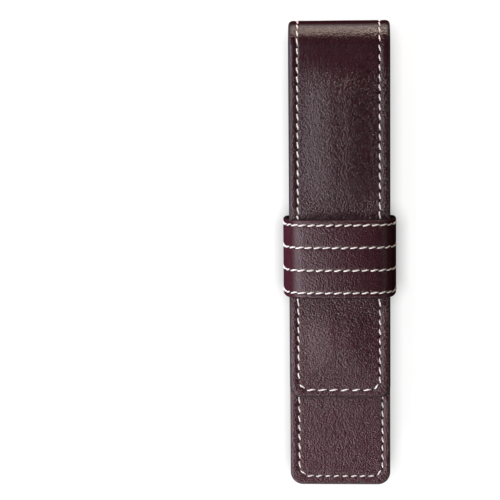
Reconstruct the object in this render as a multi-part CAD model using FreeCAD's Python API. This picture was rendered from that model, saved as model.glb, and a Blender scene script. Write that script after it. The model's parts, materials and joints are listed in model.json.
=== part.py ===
import FreeCAD, Part
import math
import os

# A leather sleeve for one pen, lying on its back with its flap shut under a band.
# Millimetres. X runs across the sleeve, Y along it towards the fold and Z up from the
# surface that it lies on. The origin is under the middle of the sleeve.

Vector = FreeCAD.Vector

# Driving sizes of the sleeve
sleeve_length = 160.0
sleeve_width = 34.5
pocket_depth = 10.5
leather = 1.3
lining = 1.2
glue_line = 0.05
layer_clearance = 0.3
edge_round_share = 0.9

# Pouch
pouch_corner_radius = 4.3
mouth_from_fold = 22.0
gusset_thickness = 1.3
gusset_flange = 4.6
gusset_corner_radius = 2.0

# Flap and the fold that carries it
flap_tip_from_bottom = 31.0
flap_corner_radius = 4.0
fold_bends = 3
fold_gap = 0.2

# Band
band_length = 27.0
band_offset = -0.9
band_leather = 1.3
band_lining = 0.8
band_side_clearance = 0.3
band_inner_radius = 1.5
band_row_margin = 1.725
band_rows = 4

# Seams
seam_inset = 3.0
stitch_pitch = 3.3
stitch_share = 0.73
stitch_slant = 13.0
thread_radius = 0.3
thread_clearance = 0.05
overrun = 1.0

# Heights of the layers, from the surface upwards
band_wall = band_leather + band_lining
back_z = band_wall
pocket_z = back_z + leather + lining
front_lining_z = pocket_z + pocket_depth
front_z = front_lining_z + lining
front_top = front_z + leather
flap_lining_z = front_top + layer_clearance
flap_z = flap_lining_z + lining
flap_top = flap_z + leather
band_top = flap_top + layer_clearance + band_wall

# Places along the sleeve
bottom_y = -sleeve_length / 2
fold_radius = (flap_top - back_z) / 2
fold_inner_radius = fold_radius - leather - lining
fold_axis_y = sleeve_length / 2 - fold_radius
fold_axis_z = back_z + fold_radius
mouth_y = sleeve_length / 2 - mouth_from_fold
flap_tip_y = bottom_y + flap_tip_from_bottom
half_turn = 180.0
fold_bend = half_turn / fold_bends
fold_half_gap = math.degrees(fold_gap / 2 / fold_radius)

# Sizes worked out for the layers and the seams
half_width = sleeve_width / 2
edge_round = edge_round_share * leather
lining_sheet = lining - glue_line
band_half_width = half_width + band_side_clearance + band_wall
band_corner_radius = band_inner_radius + band_wall
stitch_length = stitch_pitch * stitch_share
stitch_gap = stitch_pitch - stitch_length
seam_depth = thread_radius + thread_clearance
fold_sag = stitch_length**2 / 8 / fold_inner_radius
groove_depth = 2 * seam_depth + fold_sag
groove_width = 2 * seam_depth + stitch_length * math.sin(math.radians(stitch_slant))
band_sag = stitch_length**2 / 8 / (band_corner_radius - band_leather / 2)
corner_leg = stitch_length / math.sqrt(2)
row_x = half_width - seam_inset

across = Vector(1, 0, 0)
along_sleeve = Vector(0, 1, 0)
up = Vector(0, 0, 1)
flat = Vector(0, 0, 0)


def corner_arc(previous, corner, following, radius):
    """Start, middle and end of the arc that rounds a square corner."""
    back = (previous - corner).normalize()
    ahead = (following - corner).normalize()
    middle = corner + (back + ahead) * radius * (1 - math.sqrt(0.5))
    return corner + back * radius, middle, corner + ahead * radius


def rounded_face(corners):
    """A face whose outline runs through square corners, each a point and a radius."""
    count = len(corners)
    arcs = []
    for index, (corner, radius) in enumerate(corners):
        following = corners[(index + 1) % count][0]
        arcs.append(corner_arc(corners[index - 1][0], corner, following, radius))
    edges = []
    for index, (start, middle, end) in enumerate(arcs):
        if corners[index][1] > 0:
            edges.append(Part.Arc(start, middle, end).toShape())
        edges.append(Part.makeLine(end, arcs[(index + 1) % count][0]))
    return Part.Face(Part.Wire(edges))


def plan_face(inset, low_y, high_y, radius):
    """A plan of the sleeve, inset from its sides, with its two low corners rounded."""
    side = half_width - inset
    return rounded_face(
        [
            (Vector(-side, high_y, 0), 0),
            (Vector(-side, low_y, 0), radius),
            (Vector(side, low_y, 0), radius),
            (Vector(side, high_y, 0), 0),
        ]
    )


def section_face(left, right, y, low_z, high_z, low_radius, high_radius):
    """A cross-section at y, with its low and high corners rounded."""
    return rounded_face(
        [
            (Vector(left, y, low_z), low_radius),
            (Vector(right, y, low_z), low_radius),
            (Vector(right, y, high_z), high_radius),
            (Vector(left, y, high_z), high_radius),
        ]
    )


def plan_slab(plan, low_z, height):
    """A plan raised to low_z and given a height, which may be downwards."""
    plan.translate(up * low_z)
    return plan.extrude(up * height)


def turned(face, start, end):
    """A cross-section at the fold's axis swept round the fold from start to end degrees."""
    centre = Vector(0, fold_axis_y, fold_axis_z)
    face.rotate(centre, across, start)
    return face.revolve(centre, across, end - start)


def panel(low_y, high_y, low_z, thickness, low_round, high_round, corner_radius):
    """A flat layer across the whole sleeve with rounded corners at its low end."""
    face = section_face(
        -half_width, half_width, low_y, low_z, low_z + thickness, low_round, high_round
    )
    slab = face.extrude(along_sleeve * (high_y - low_y))
    return slab.common(plan_slab(plan_face(0, low_y, high_y, corner_radius), low_z, thickness))


def outer_section():
    """Cross-section of the outer leather where the back runs into the fold."""
    return section_face(
        -half_width, half_width, fold_axis_y, back_z, back_z + leather, edge_round, 0
    )


def lining_section():
    """Cross-section of the lining where the back runs into the fold."""
    low_z = pocket_z - lining_sheet
    return section_face(-half_width, half_width, fold_axis_y, low_z, pocket_z, 0, 0)


def seam_groove(low_y, high_y, face_z, depth):
    """The groove for a seam down both sides and across the low end of a face."""
    near = seam_inset - groove_width / 2
    far = seam_inset + groove_width / 2
    radius = corner_leg + groove_width / 2
    ring = plan_face(near, low_y + near, high_y, radius)
    ring = ring.cut(plan_face(far, low_y + far, high_y, radius))
    clear = math.copysign(overrun, depth)
    return plan_slab(ring, face_z - clear, depth + clear)


def side_grooves(low_z, high_z):
    """Cross-sections, at the fold's axis, of the grooves of the two side rows."""
    faces = []
    for side in (-1, 1):
        left = side * row_x - groove_width / 2
        right = side * row_x + groove_width / 2
        faces.append(section_face(left, right, fold_axis_y, low_z, high_z, 0, 0))
    return faces


def outer_fold_grooves():
    """The side grooves carried round the outside of the fold."""
    faces = side_grooves(back_z - overrun, back_z + groove_depth)
    return [turned(face, 0, half_turn) for face in faces]


def lining_fold_grooves():
    """The side grooves carried round the inside of the fold."""
    faces = side_grooves(pocket_z - groove_depth, pocket_z + overrun)
    return [turned(face, 0, half_turn) for face in faces]


def bend_span(index):
    """Start and end, in degrees round the fold, of the stretch before or after a hinge line."""
    start = max(0, fold_bend * (index - 1 / 2) + fold_half_gap)
    end = min(half_turn, fold_bend * (index + 1 / 2) - fold_half_gap)
    return start, end


def back_outer():
    """The outer leather of the back, up to the first hinge line of the fold."""
    sheet = panel(bottom_y, fold_axis_y, back_z, leather, edge_round, 0, pouch_corner_radius)
    sheet = sheet.fuse(turned(outer_section(), *bend_span(0))).removeSplitter()
    groove = seam_groove(bottom_y, fold_axis_y, back_z, groove_depth)
    return sheet.cut([groove] + outer_fold_grooves())


def back_lining():
    """The lining of the back, grooved where it shows between the mouth and the fold."""
    low_z = pocket_z - lining_sheet
    sheet = panel(bottom_y, fold_axis_y, low_z, lining_sheet, 0, 0, pouch_corner_radius)
    sheet = sheet.fuse(turned(lining_section(), *bend_span(0))).removeSplitter()
    run = -along_sleeve * (fold_axis_y - mouth_y)
    faces = side_grooves(pocket_z - groove_depth, pocket_z + overrun)
    grooves = [face.extrude(run) for face in faces]
    return sheet.cut(grooves + lining_fold_grooves())


def fold_outer(index):
    """One stretch of the outer leather between two hinge lines of the fold."""
    return turned(outer_section(), *bend_span(index)).cut(outer_fold_grooves())


def fold_lining(index):
    """One stretch of the lining between two hinge lines of the fold."""
    return turned(lining_section(), *bend_span(index)).cut(lining_fold_grooves())


def flap_outer():
    """The outer leather of the flap, from the last hinge line to its tip."""
    sheet = panel(flap_tip_y, fold_axis_y, flap_z, leather, 0, edge_round, flap_corner_radius)
    sheet = sheet.fuse(turned(outer_section(), *bend_span(fold_bends))).removeSplitter()
    groove = seam_groove(flap_tip_y, fold_axis_y, flap_top, -groove_depth)
    return sheet.cut([groove] + outer_fold_grooves())


def flap_lining():
    """The lining of the flap."""
    sheet = panel(flap_tip_y, fold_axis_y, flap_lining_z, lining_sheet, 0, 0, flap_corner_radius)
    sheet = sheet.fuse(turned(lining_section(), *bend_span(fold_bends))).removeSplitter()
    groove = seam_groove(flap_tip_y, fold_axis_y, flap_lining_z, groove_depth)
    return sheet.cut([groove] + lining_fold_grooves())


def front_outer():
    """The outer leather of the pouch's front."""
    sheet = panel(bottom_y, mouth_y, front_z, leather, 0, edge_round, pouch_corner_radius)
    return sheet.cut(seam_groove(bottom_y, mouth_y + overrun, front_top, -groove_depth))


def front_lining():
    """The lining of the pouch's front."""
    return panel(bottom_y, mouth_y, front_lining_z, lining_sheet, 0, 0, pouch_corner_radius)


def gusset_ring(outer_inset, outer_radius, inner_inset, inner_radius):
    """A plan of the gusset: down one side, across the bottom and up the other side."""
    outer = plan_face(outer_inset, bottom_y + outer_inset, mouth_y, outer_radius)
    return outer.cut(plan_face(inner_inset, bottom_y + inner_inset, mouth_y, inner_radius))


def gusset():
    """The channel that holds the front off the back, with flanges turned outwards."""
    inner = gusset_flange + gusset_thickness
    web_radius = gusset_corner_radius + gusset_thickness
    web = gusset_ring(gusset_flange, web_radius, inner, gusset_corner_radius)
    channel = plan_slab(web, pocket_z, pocket_depth)
    for low_z in (pocket_z, front_lining_z - gusset_thickness):
        flange = gusset_ring(0, pouch_corner_radius, inner, gusset_corner_radius)
        channel = channel.fuse(plan_slab(flange, low_z, gusset_thickness))
    return channel.removeSplitter()


def band_section(inset, y):
    """Cross-section of the band's loop at y, inset from its outer face."""
    radius = band_corner_radius - inset
    side = band_half_width - inset
    return section_face(-side, side, y, inset, band_top - inset, radius, radius)


def band_layer(outer_inset, inner_inset):
    """One layer of the band's loop."""
    low_y = band_offset - band_length / 2
    ring = band_section(outer_inset, low_y).cut(band_section(inner_inset, low_y))
    return ring.extrude(along_sleeve * band_length)


def band_row_places():
    """The places of the band's stitch rows along the sleeve, spread between its margins."""
    first = band_offset - band_length / 2 + band_row_margin
    spacing = (band_length - 2 * band_row_margin) / (band_rows - 1)
    return [first + spacing * index for index in range(band_rows)]


def band_outer():
    """The outer leather of the band, grooved all round for its rows."""
    loop = band_layer(0, band_leather)
    grooves = []
    for y in band_row_places():
        low_y = y - groove_width / 2
        ring = band_section(-overrun, low_y)
        ring = ring.cut(band_section(2 * seam_depth + band_sag, low_y))
        grooves.append(ring.extrude(along_sleeve * groove_width))
    return loop.cut(grooves)


def stitch(centre, run, side, length):
    """One stitch: a round-ended thread along run, slanted to the given side."""
    straight = length / 2 - thread_radius
    bulge = thread_radius * math.sqrt(0.5)
    edges = [
        Part.makeLine(Vector(-length / 2, 0, 0), Vector(length / 2, 0, 0)),
        Part.makeLine(Vector(straight, thread_radius, 0), Vector(-straight, thread_radius, 0)),
    ]
    for end in (-1, 1):
        tip = Vector(end * length / 2, 0, 0)
        middle = Vector(end * (straight + bulge), bulge, 0)
        shoulder = Vector(end * straight, thread_radius, 0)
        edges.append(Part.Arc(tip, middle, shoulder).toShape())
    face = Part.Face(Part.Wire(Part.__sortEdges__(edges)))
    thread = face.revolve(flat, across, 2 * half_turn)
    slant = math.radians(stitch_slant)
    direction = run * math.cos(slant) + side * math.sin(slant)
    thread.Placement = FreeCAD.Placement(centre, FreeCAD.Rotation(across, direction))
    return thread


def straight_row(start, end, side):
    """A row of evenly spaced stitches from start to end."""
    length = (end - start).Length
    run = (end - start).normalize()
    count = math.ceil(length / stitch_pitch)
    cell = length / count
    places = [start + run * cell * (index + 1 / 2) for index in range(count)]
    return [stitch(place, run, side, cell * stitch_share) for place in places]


def fold_row(x, radius, start, end):
    """A row of stitches round the fold from start to end degrees, as many as outside."""
    turn = math.radians(end - start)
    count = math.ceil(fold_radius * turn / stitch_pitch)
    cell = turn / count
    stitches = []
    for index in range(count):
        angle = math.radians(start) + cell * (index + 1 / 2)
        run = Vector(0, math.cos(angle), math.sin(angle))
        out = Vector(0, math.sin(angle), -math.cos(angle))
        centre = Vector(x, fold_axis_y, fold_axis_z) + out * radius
        stitches.append(stitch(centre, run, across, radius * cell * stitch_share))
    return stitches


def fold_rows(index):
    """The side rows on both faces of one stretch of the fold."""
    outside = fold_radius - seam_depth - fold_sag
    inside = fold_inner_radius + seam_depth
    stitches = []
    for x in (-row_x, row_x):
        for radius in (outside, inside):
            stitches += fold_row(x, radius, *bend_span(index))
    return stitches


def seam_rows(low_y, high_y, z, side):
    """The rows of a seam: both sides, the low end and a slanting stitch at each corner."""
    row_y = low_y + seam_inset
    start = corner_leg + stitch_gap / 2
    stitches = []
    for hand in (-1, 1):
        corner = Vector(hand * row_x, row_y, z)
        stitches += straight_row(corner + along_sleeve * start, Vector(hand * row_x, high_y, z), side)
        run = (across * -hand - along_sleeve).normalize()
        centre = corner + (along_sleeve + across * -hand) * corner_leg / 2
        stitches.append(stitch(centre, run, flat, stitch_length))
    left = Vector(-row_x + start, row_y, z)
    right = Vector(row_x - start, row_y, z)
    return stitches + straight_row(left, right, along_sleeve)


def back_seam_stitches():
    """The seam of the back with the gusset, and its rows up to the fold."""
    stitches = seam_rows(bottom_y, fold_axis_y, back_z + seam_depth, across)
    for x in (-row_x, row_x):
        inside = Vector(x, mouth_y, pocket_z - seam_depth)
        stitches += straight_row(inside, Vector(x, fold_axis_y, inside.z), across)
    return stitches + fold_rows(0)


def flap_stitches():
    """The seam round the flap, on its leather and on its lining."""
    outside = seam_rows(flap_tip_y, fold_axis_y, flap_top - seam_depth, -across)
    inside = seam_rows(flap_tip_y, fold_axis_y, flap_lining_z + seam_depth, -across)
    return outside + inside + fold_rows(fold_bends)


def front_seam_stitches():
    """The seam of the front with the gusset."""
    return seam_rows(bottom_y, mouth_y, front_top - seam_depth, -across)


def band_row_stitches(y):
    """One row of stitches all round the band."""
    path = band_section(seam_depth + band_sag, y).OuterWire
    count = math.ceil(path.Length / stitch_pitch)
    points = path.discretize(Number=2 * count + 1)
    length = path.Length / count * stitch_share
    stitches = []
    for index in range(count):
        start, centre, end = points[2 * index : 2 * index + 3]
        stitches.append(stitch(centre, (end - start).normalize(), -along_sleeve, length))
    return stitches


parts = {
    "back_outer": back_outer(),
    "back_lining": back_lining(),
    "fold_back_outer": fold_outer(1),
    "fold_back_lining": fold_lining(1),
    "fold_front_outer": fold_outer(2),
    "fold_front_lining": fold_lining(2),
    "flap_outer": flap_outer(),
    "flap_lining": flap_lining(),
    "front_outer": front_outer(),
    "front_lining": front_lining(),
    "gusset": gusset(),
    "band_outer": band_outer(),
    "band_lining": band_layer(band_leather + glue_line, band_wall),
    "back_seam_stitches": Part.makeCompound(back_seam_stitches()),
    "fold_back_stitches": Part.makeCompound(fold_rows(1)),
    "fold_front_stitches": Part.makeCompound(fold_rows(2)),
    "flap_stitches": Part.makeCompound(flap_stitches()),
    "front_seam_stitches": Part.makeCompound(front_seam_stitches()),
}
for number, place in enumerate(band_row_places(), start=1):
    parts[f"band_stitches_{number}"] = Part.makeCompound(band_row_stitches(place))

os.makedirs("parts", exist_ok=True)
for node, shape in parts.items():
    shape.exportStep(f"parts/{node}.step")
    print(node, len(shape.Solids), round(shape.Volume, 2), shape.isValid())
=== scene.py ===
"""A leather sleeve for one pen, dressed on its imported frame.

Metres throughout. X runs across the sleeve, Y along it towards the fold and Z up from the
surface that it lies on. A sheet of leather is drawn on a plan, across and along the hide,
and its course says where that plan runs in the sleeve.
"""

import json
import logging
import math
from collections.abc import Iterable, Mapping, Sequence
from dataclasses import dataclass, replace
from enum import Enum

import bpy
import numpy as np
from mathutils import Matrix, Vector


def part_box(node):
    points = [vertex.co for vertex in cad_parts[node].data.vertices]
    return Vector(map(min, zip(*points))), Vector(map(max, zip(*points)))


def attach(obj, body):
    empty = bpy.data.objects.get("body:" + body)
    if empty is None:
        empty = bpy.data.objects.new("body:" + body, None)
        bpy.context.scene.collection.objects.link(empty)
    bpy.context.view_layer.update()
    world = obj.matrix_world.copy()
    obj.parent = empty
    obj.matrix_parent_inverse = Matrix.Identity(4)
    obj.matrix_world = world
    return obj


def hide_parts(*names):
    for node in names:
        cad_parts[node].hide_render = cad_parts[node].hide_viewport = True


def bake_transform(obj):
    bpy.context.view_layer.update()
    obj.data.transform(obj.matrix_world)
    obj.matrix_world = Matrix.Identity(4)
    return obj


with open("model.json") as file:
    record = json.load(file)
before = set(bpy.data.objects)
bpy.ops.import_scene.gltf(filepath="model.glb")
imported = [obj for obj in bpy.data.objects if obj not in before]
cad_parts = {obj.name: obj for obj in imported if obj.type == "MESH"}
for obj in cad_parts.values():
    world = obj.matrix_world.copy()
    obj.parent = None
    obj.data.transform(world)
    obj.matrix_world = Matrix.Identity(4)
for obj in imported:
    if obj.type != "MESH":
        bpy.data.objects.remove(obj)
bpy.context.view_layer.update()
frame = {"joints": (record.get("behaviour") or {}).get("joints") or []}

LOG = logging.getLogger("pen_sleeve")

MM = 0.001
STITCH_PITCH = 3.3 * MM
# Reach beside a seam row where a mesh is finer, and its step there.
SEAM_REACH = 1.4 * MM
SEAM_STEP = 0.24 * MM
# Distance that stands for no seam nearby.
NO_SEAM = 50 * MM
# Reach over which a direction on a course is measured.
PROBE = 0.05 * MM
# Places on a hide that lie nearer than this are one.
SAME_PLACE = 1e-7
# A range of steepness that no face reaches.
NEVER_STEEP = (2.0, 3.0)
# Value round which a noise swings.
NOISE_MIDDLE = 0.5
WHITE = (1.0, 1.0, 1.0, 1.0)

Array = np.ndarray
Colour = tuple[float, float, float]
Material = bpy.types.Material
Pair = tuple[float, float]
Piece = bpy.types.Object
Place = tuple[float, float, float]
Profile = tuple[Pair, ...]


class Body(Enum):
    """The moving bodies of the sleeve."""

    SLEEVE = "sleeve"
    FOLD_BACK = "fold_back"
    FOLD_FRONT = "fold_front"
    FLAP = "flap"


class Slot(Enum):
    """The record's material slots."""

    OUTER = "outer_leather"
    LINING = "lining_leather"
    GUSSET = "gusset_leather"
    THREAD = "thread"


class Mark(Enum):
    """Values kept on the points of a mesh for its material or its stitching."""

    HIDE = "hide"
    PAINT = "paint"
    STEEP = "steep"
    # Painted light and shade: a level along a sheet that lightens or darkens its colour, kept under the
    # attribute name tone.
    TONE = "tone"
    GRAIN = "grain"
    SEAM = "seam"
    RUN = "run"
    OUT = "out"
    STRETCH = "stretch"


@dataclass(frozen=True)
class SleevePlaces:
    """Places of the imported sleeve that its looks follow."""

    half_width: float
    bottom: float
    tip: float
    mouth: float
    back_face: float
    front_low: float
    front_face: float
    strip_wall: float
    fold_y: float
    fold_z: float
    fold_radius: float
    band_low: float
    band_high: float
    band_half: float
    band_top: float
    band_wall: float

    @classmethod
    def read(cls) -> "SleevePlaces":
        """Works the places out from the nodes and joints of the frame.

        Returns:
            The places.
        """
        back_low, back_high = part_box("back_outer")
        flap_low, flap_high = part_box("flap_outer")
        front_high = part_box("front_outer")[1]
        band_low, band_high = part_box("band_outer")
        joints = {joint["name"]: joint for joint in frame["joints"]}
        apex = joints["fold_middle"]["pos_m"]
        fold_radius = (flap_high.z - back_low.z) / 2
        return cls(
            half_width=back_high.x,
            bottom=back_low.y,
            tip=flap_low.y,
            mouth=front_high.y,
            back_face=back_low.z,
            front_low=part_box("front_lining")[0].z,
            front_face=front_high.z,
            strip_wall=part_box("gusset")[0].z - back_low.z,
            fold_y=apex[1] - fold_radius,
            fold_z=apex[2],
            fold_radius=fold_radius,
            band_low=band_low.y,
            band_high=band_high.y,
            band_half=band_high.x,
            band_top=band_high.z,
            band_wall=back_low.z - band_low.z,
        )


class Course:
    """Where the plan of a sheet runs in the sleeve."""

    def point(self, across: Array, along: Array, out: Array) -> Array:
        """Points in the sleeve of places on the plan.

        Args:
            across: Places across the sheet.
            along: Places along the sheet.
            out: Heights over the sheet's outer face.

        Returns:
            The points, with a last axis of three.
        """
        raise NotImplementedError

    def directions(self, across: Array, along: Array, step: Array) -> tuple[Array, Array]:
        """Unit directions in the sleeve at places on the plan.

        Args:
            across: Places across the sheet.
            along: Places along the sheet.
            step: Direction on the plan at each place.

        Returns:
            The directions of the steps, and the directions out of the sheet.
        """
        level = np.zeros_like(across)
        aside, forward = PROBE * step.T
        ahead = self.point(across + aside, along + forward, level)
        behind = self.point(across - aside, along - forward, level)
        raised = self.point(across, along, level + PROBE) - self.point(across, along, level)
        return unit(ahead - behind), unit(raised)


def unit(vectors: Array) -> Array:
    """The vectors at a length of one."""
    return vectors / np.linalg.norm(vectors, axis=-1, keepdims=True)


@dataclass(frozen=True)
class StripCourse(Course):
    """The strip of leather: up the flap from its tip, round the fold and down the back."""

    places: SleevePlaces

    @property
    def flap_length(self) -> float:
        """Length of the flat flap."""
        return self.places.fold_y - self.places.tip

    @property
    def fold_length(self) -> float:
        """Length round the fold."""
        return math.pi * self.places.fold_radius

    @property
    def length(self) -> float:
        """Length of the whole strip."""
        return self.flap_length + self.fold_length + self.places.fold_y - self.places.bottom

    def fold_place(self, degrees: float) -> float:
        """Place along the strip at an angle round the fold, counted from the back."""
        return self.flap_length + (math.pi - math.radians(degrees)) * self.places.fold_radius

    def point(self, across: Array, along: Array, out: Array) -> Array:
        """Points in the sleeve of places on the strip's plan.

        Args:
            across: Places across the strip.
            along: Places along the strip, from the flap's tip.
            out: Heights over the strip's outer face.

        Returns:
            The points, with a last axis of three.
        """
        places = self.places
        beyond = along - self.flap_length
        turn = np.clip(beyond / places.fold_radius, 0, math.pi)
        straight = np.minimum(beyond, 0) - np.maximum(beyond - self.fold_length, 0)
        radius = places.fold_radius + out
        y = places.fold_y + straight + radius * np.sin(turn)
        z = places.fold_z + radius * np.cos(turn)
        return np.stack([across, y, z], axis=-1)


@dataclass(frozen=True)
class PanelCourse(Course):
    """A flat panel that faces up, from its low end along the sleeve."""

    low_y: float
    face_z: float

    def point(self, across: Array, along: Array, out: Array) -> Array:
        """Points in the sleeve of places on the panel's plan."""
        return np.stack([across, self.low_y + along, self.face_z + out], axis=-1)


@dataclass(frozen=True)
class BandCourse(Course):
    """The loop of the band, from the middle of its back.

    It runs up a leaning side, over the crowned front and down the other side.
    """

    half: float
    shoulder: float
    middle_y: float
    front_radius: float
    back_radius: float
    crown_angle: float
    lean_angle: float
    tuck_angle: float

    @property
    def side_low(self) -> float:
        """Height at which a side leaves the back's corner."""
        return self.back_radius * (1 - math.sin(self.tuck_angle))

    @property
    def side_radius(self) -> float:
        """Radius of the slightly bowed sides."""
        corner = self.front_radius * (math.cos(self.crown_angle) - math.sin(self.lean_angle))
        rise = self.shoulder - self.side_low - corner
        return rise / (math.sin(self.lean_angle) + math.sin(self.tuck_angle))

    @property
    def front_half(self) -> float:
        """Half width of the crowned front, between its corners."""
        lean = self.side_radius * (1 - math.cos(self.lean_angle))
        centre = self.half - lean - self.front_radius * math.cos(self.lean_angle)
        return centre + self.front_radius * math.sin(self.crown_angle)

    @property
    def back_half(self) -> float:
        """Half width of the flat back, between its corners."""
        lean = self.side_radius * (1 - math.cos(self.tuck_angle))
        return self.half - lean - self.back_radius * math.cos(self.tuck_angle)

    def runs(self) -> list[Pair]:
        """Works out the runs of the loop: the back's half, corner, side, corner, front, and so back.

        Returns:
            Length and turn in radians of each run.
        """
        front_turn = math.pi / 2 - self.crown_angle - self.lean_angle
        side_turn = self.lean_angle + self.tuck_angle
        back_turn = math.pi / 2 - self.tuck_angle
        crown = self.front_half / math.sin(self.crown_angle)
        half = [
            (self.back_half, 0.0),
            (back_turn * self.back_radius, back_turn),
            (side_turn * self.side_radius, side_turn),
            (front_turn * self.front_radius, front_turn),
        ]
        return half + [(2 * self.crown_angle * crown, 2 * self.crown_angle)] + half[::-1]

    def marks(self) -> list[float]:
        """Places along the loop where its runs end."""
        return np.cumsum([run[0] for run in self.runs()]).tolist()

    @property
    def length(self) -> float:
        """Length of the loop on its outer face."""
        return self.marks()[-1]

    def point(self, across: Array, along: Array, out: Array) -> Array:
        """Points in the sleeve of places on the band's plan.

        Args:
            across: Places across the band, from its middle.
            along: Places round the loop.
            out: Heights over the band's outer face.

        Returns:
            The points, with a last axis of three.
        """
        here = np.mod(along, self.length)
        x = np.zeros_like(here)
        z = np.zeros_like(here)
        start = 0.0
        heading = 0.0
        corner = np.zeros(2)
        for length, turn in self.runs():
            inside = (here >= start) & (here <= start + length)
            gone = (here - start)[inside]
            facing = heading - math.pi / 2 + turn * gone / length
            height = out[inside]
            forward = np.array([math.cos(heading), math.sin(heading)])
            if turn:
                radius = length / turn
                centre = corner + radius * np.array([-forward[1], forward[0]])
                x[inside] = centre[0] + (radius + height) * np.cos(facing)
                z[inside] = centre[1] + (radius + height) * np.sin(facing)
                last = heading - math.pi / 2 + turn
                corner = centre + radius * np.array([math.cos(last), math.sin(last)])
            else:
                x[inside] = corner[0] + gone * forward[0] + height * np.cos(facing)
                z[inside] = corner[1] + gone * forward[1] + height * np.sin(facing)
                corner = corner + length * forward
            heading += turn
            start += length
        return np.stack([x, self.middle_y + across, z], axis=-1)


@dataclass(frozen=True)
class SunkCourse(Course):
    """A course that lies some way under the face of another."""

    face: Course
    depth: float

    def point(self, across: Array, along: Array, out: Array) -> Array:
        """Points in the sleeve of places on the sunk plan."""
        return self.face.point(across, along, out - self.depth)


@dataclass(frozen=True)
class StitchRow:
    """A straight run of evenly spaced stitches on a plan."""

    start: Pair
    end: Pair
    count: int
    fill: float = 1.0

    @property
    def span(self) -> float:
        """Length of the row."""
        return math.dist(self.start, self.end)

    @property
    def step(self) -> Array:
        """Direction of the row on the plan."""
        return (np.array(self.end) - np.array(self.start)) / self.span

    @property
    def stretch(self) -> float:
        """Length of the row's stitches against those of the usual pitch."""
        return self.fill * self.span / self.count / STITCH_PITCH

    def measure(self, across: Array, along: Array, middle: float) -> Array:
        """Where places on the plan lie beside the row.

        Args:
            across: Places across the sheet.
            along: Places along the sheet.
            middle: Middle of the sheet along it.

        Returns:
            For each place: stitches along the row, metres away from it, and 1 where it lies outside the row.
        """
        step = self.step
        x = across - self.start[0]
        y = along - self.start[1]
        forward = np.clip(x * step[0] + y * step[1], 0, self.span)
        aside = (x - forward * step[0], y - forward * step[1])
        outward = aside[0] * (across - aside[0]) + aside[1] * (along - aside[1] - middle)
        away = np.hypot(*aside)
        return np.stack([forward * self.count / self.span, away, outward > 0], axis=-1)

    def centres(self) -> Array:
        """Middles of the stitches on the plan."""
        share = (np.arange(self.count) + 0.5) / self.count
        return np.array(self.start) + share[:, None] * (np.array(self.end) - np.array(self.start))


@dataclass(frozen=True)
class Stitching:
    """Sizes of the sewing."""

    pitch: float = STITCH_PITCH
    share: float = 0.77
    thread: float = 0.33 * MM

    @property
    def length(self) -> float:
        """Length of one stitch."""
        return self.pitch * self.share

    @property
    def corner_clear(self) -> float:
        """Distance from a corner of the seam to the first stitch cell of a row."""
        return self.pitch / math.sqrt(2)

    def row(self, start: Pair, end: Pair, pitch: float) -> StitchRow:
        """A row between two places, with as many stitches as its length takes."""
        return StitchRow(start, end, round(math.dist(start, end) / pitch))

    def end_rows(
        self, sides: Pair, place: float, inward: float, pitch: float, fill: float = 1.0
    ) -> list[StitchRow]:
        """The row across the end of a sheet, with a slanting stitch at each corner.

        Args:
            sides: Places of the side rows across the sheet.
            place: Place of the end row along the sheet.
            inward: 1 where the sheet lies beyond the row, and -1 where it lies before it.
            pitch: Distance between its stitches.
            fill: Length of its stitches against the usual share of the pitch.

        Returns:
            The rows.
        """
        leg = self.corner_clear
        row = self.row((sides[0] + leg, place), (sides[1] - leg, place), pitch)
        rows = [replace(row, fill=fill)]
        for side, turn in zip(sides, (1, -1)):
            rows.append(StitchRow((side, place + inward * leg), (side + turn * leg, place), 1))
        return rows


@dataclass(frozen=True)
class Zone:
    """A stretch where a mesh is finer."""

    low: float
    high: float
    step: float


def beside(places: Iterable[float], reach: float = SEAM_REACH, step: float = SEAM_STEP) -> list[Zone]:
    """Finer zones round places, such as seam rows."""
    return [Zone(place - reach, place + reach, step) for place in places]


def graded(low: float, high: float, step: float, zones: Sequence[Zone] = ()) -> Array:
    """Stations from low to high, a step apart and closer in the zones.

    Args:
        low: First station.
        high: Last station.
        step: Distance between stations outside the zones.
        zones: Stretches with a step of their own.

    Returns:
        The stations in order.
    """
    marks = [low]
    while marks[-1] < high:
        here = marks[-1]
        marks.append(here + min([step] + [zone.step for zone in zones if zone.low <= here < zone.high]))
    stations = np.array(marks)
    return low + (stations - low) * (high - low) / (stations[-1] - low)


def soft_step(share: Array) -> Array:
    """A soft step from 0 to 1 as a share goes from 0 to 1."""
    share = np.clip(share, 0, 1)
    return share * share * (3 - 2 * share)


def eased(low: float, high: float, reach: float, along: Array) -> Array:
    """1 between two places, falling softly to 0 over a reach beyond them."""
    return soft_step(1 - np.maximum(low - along, along - high) / reach)


@dataclass(frozen=True)
class Hold:
    """A stretch of a sheet where its swell is held down to a share, and its sides are pressed in."""

    low: float
    high: float
    share: float
    reach: float
    press: float = 0.0


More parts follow.
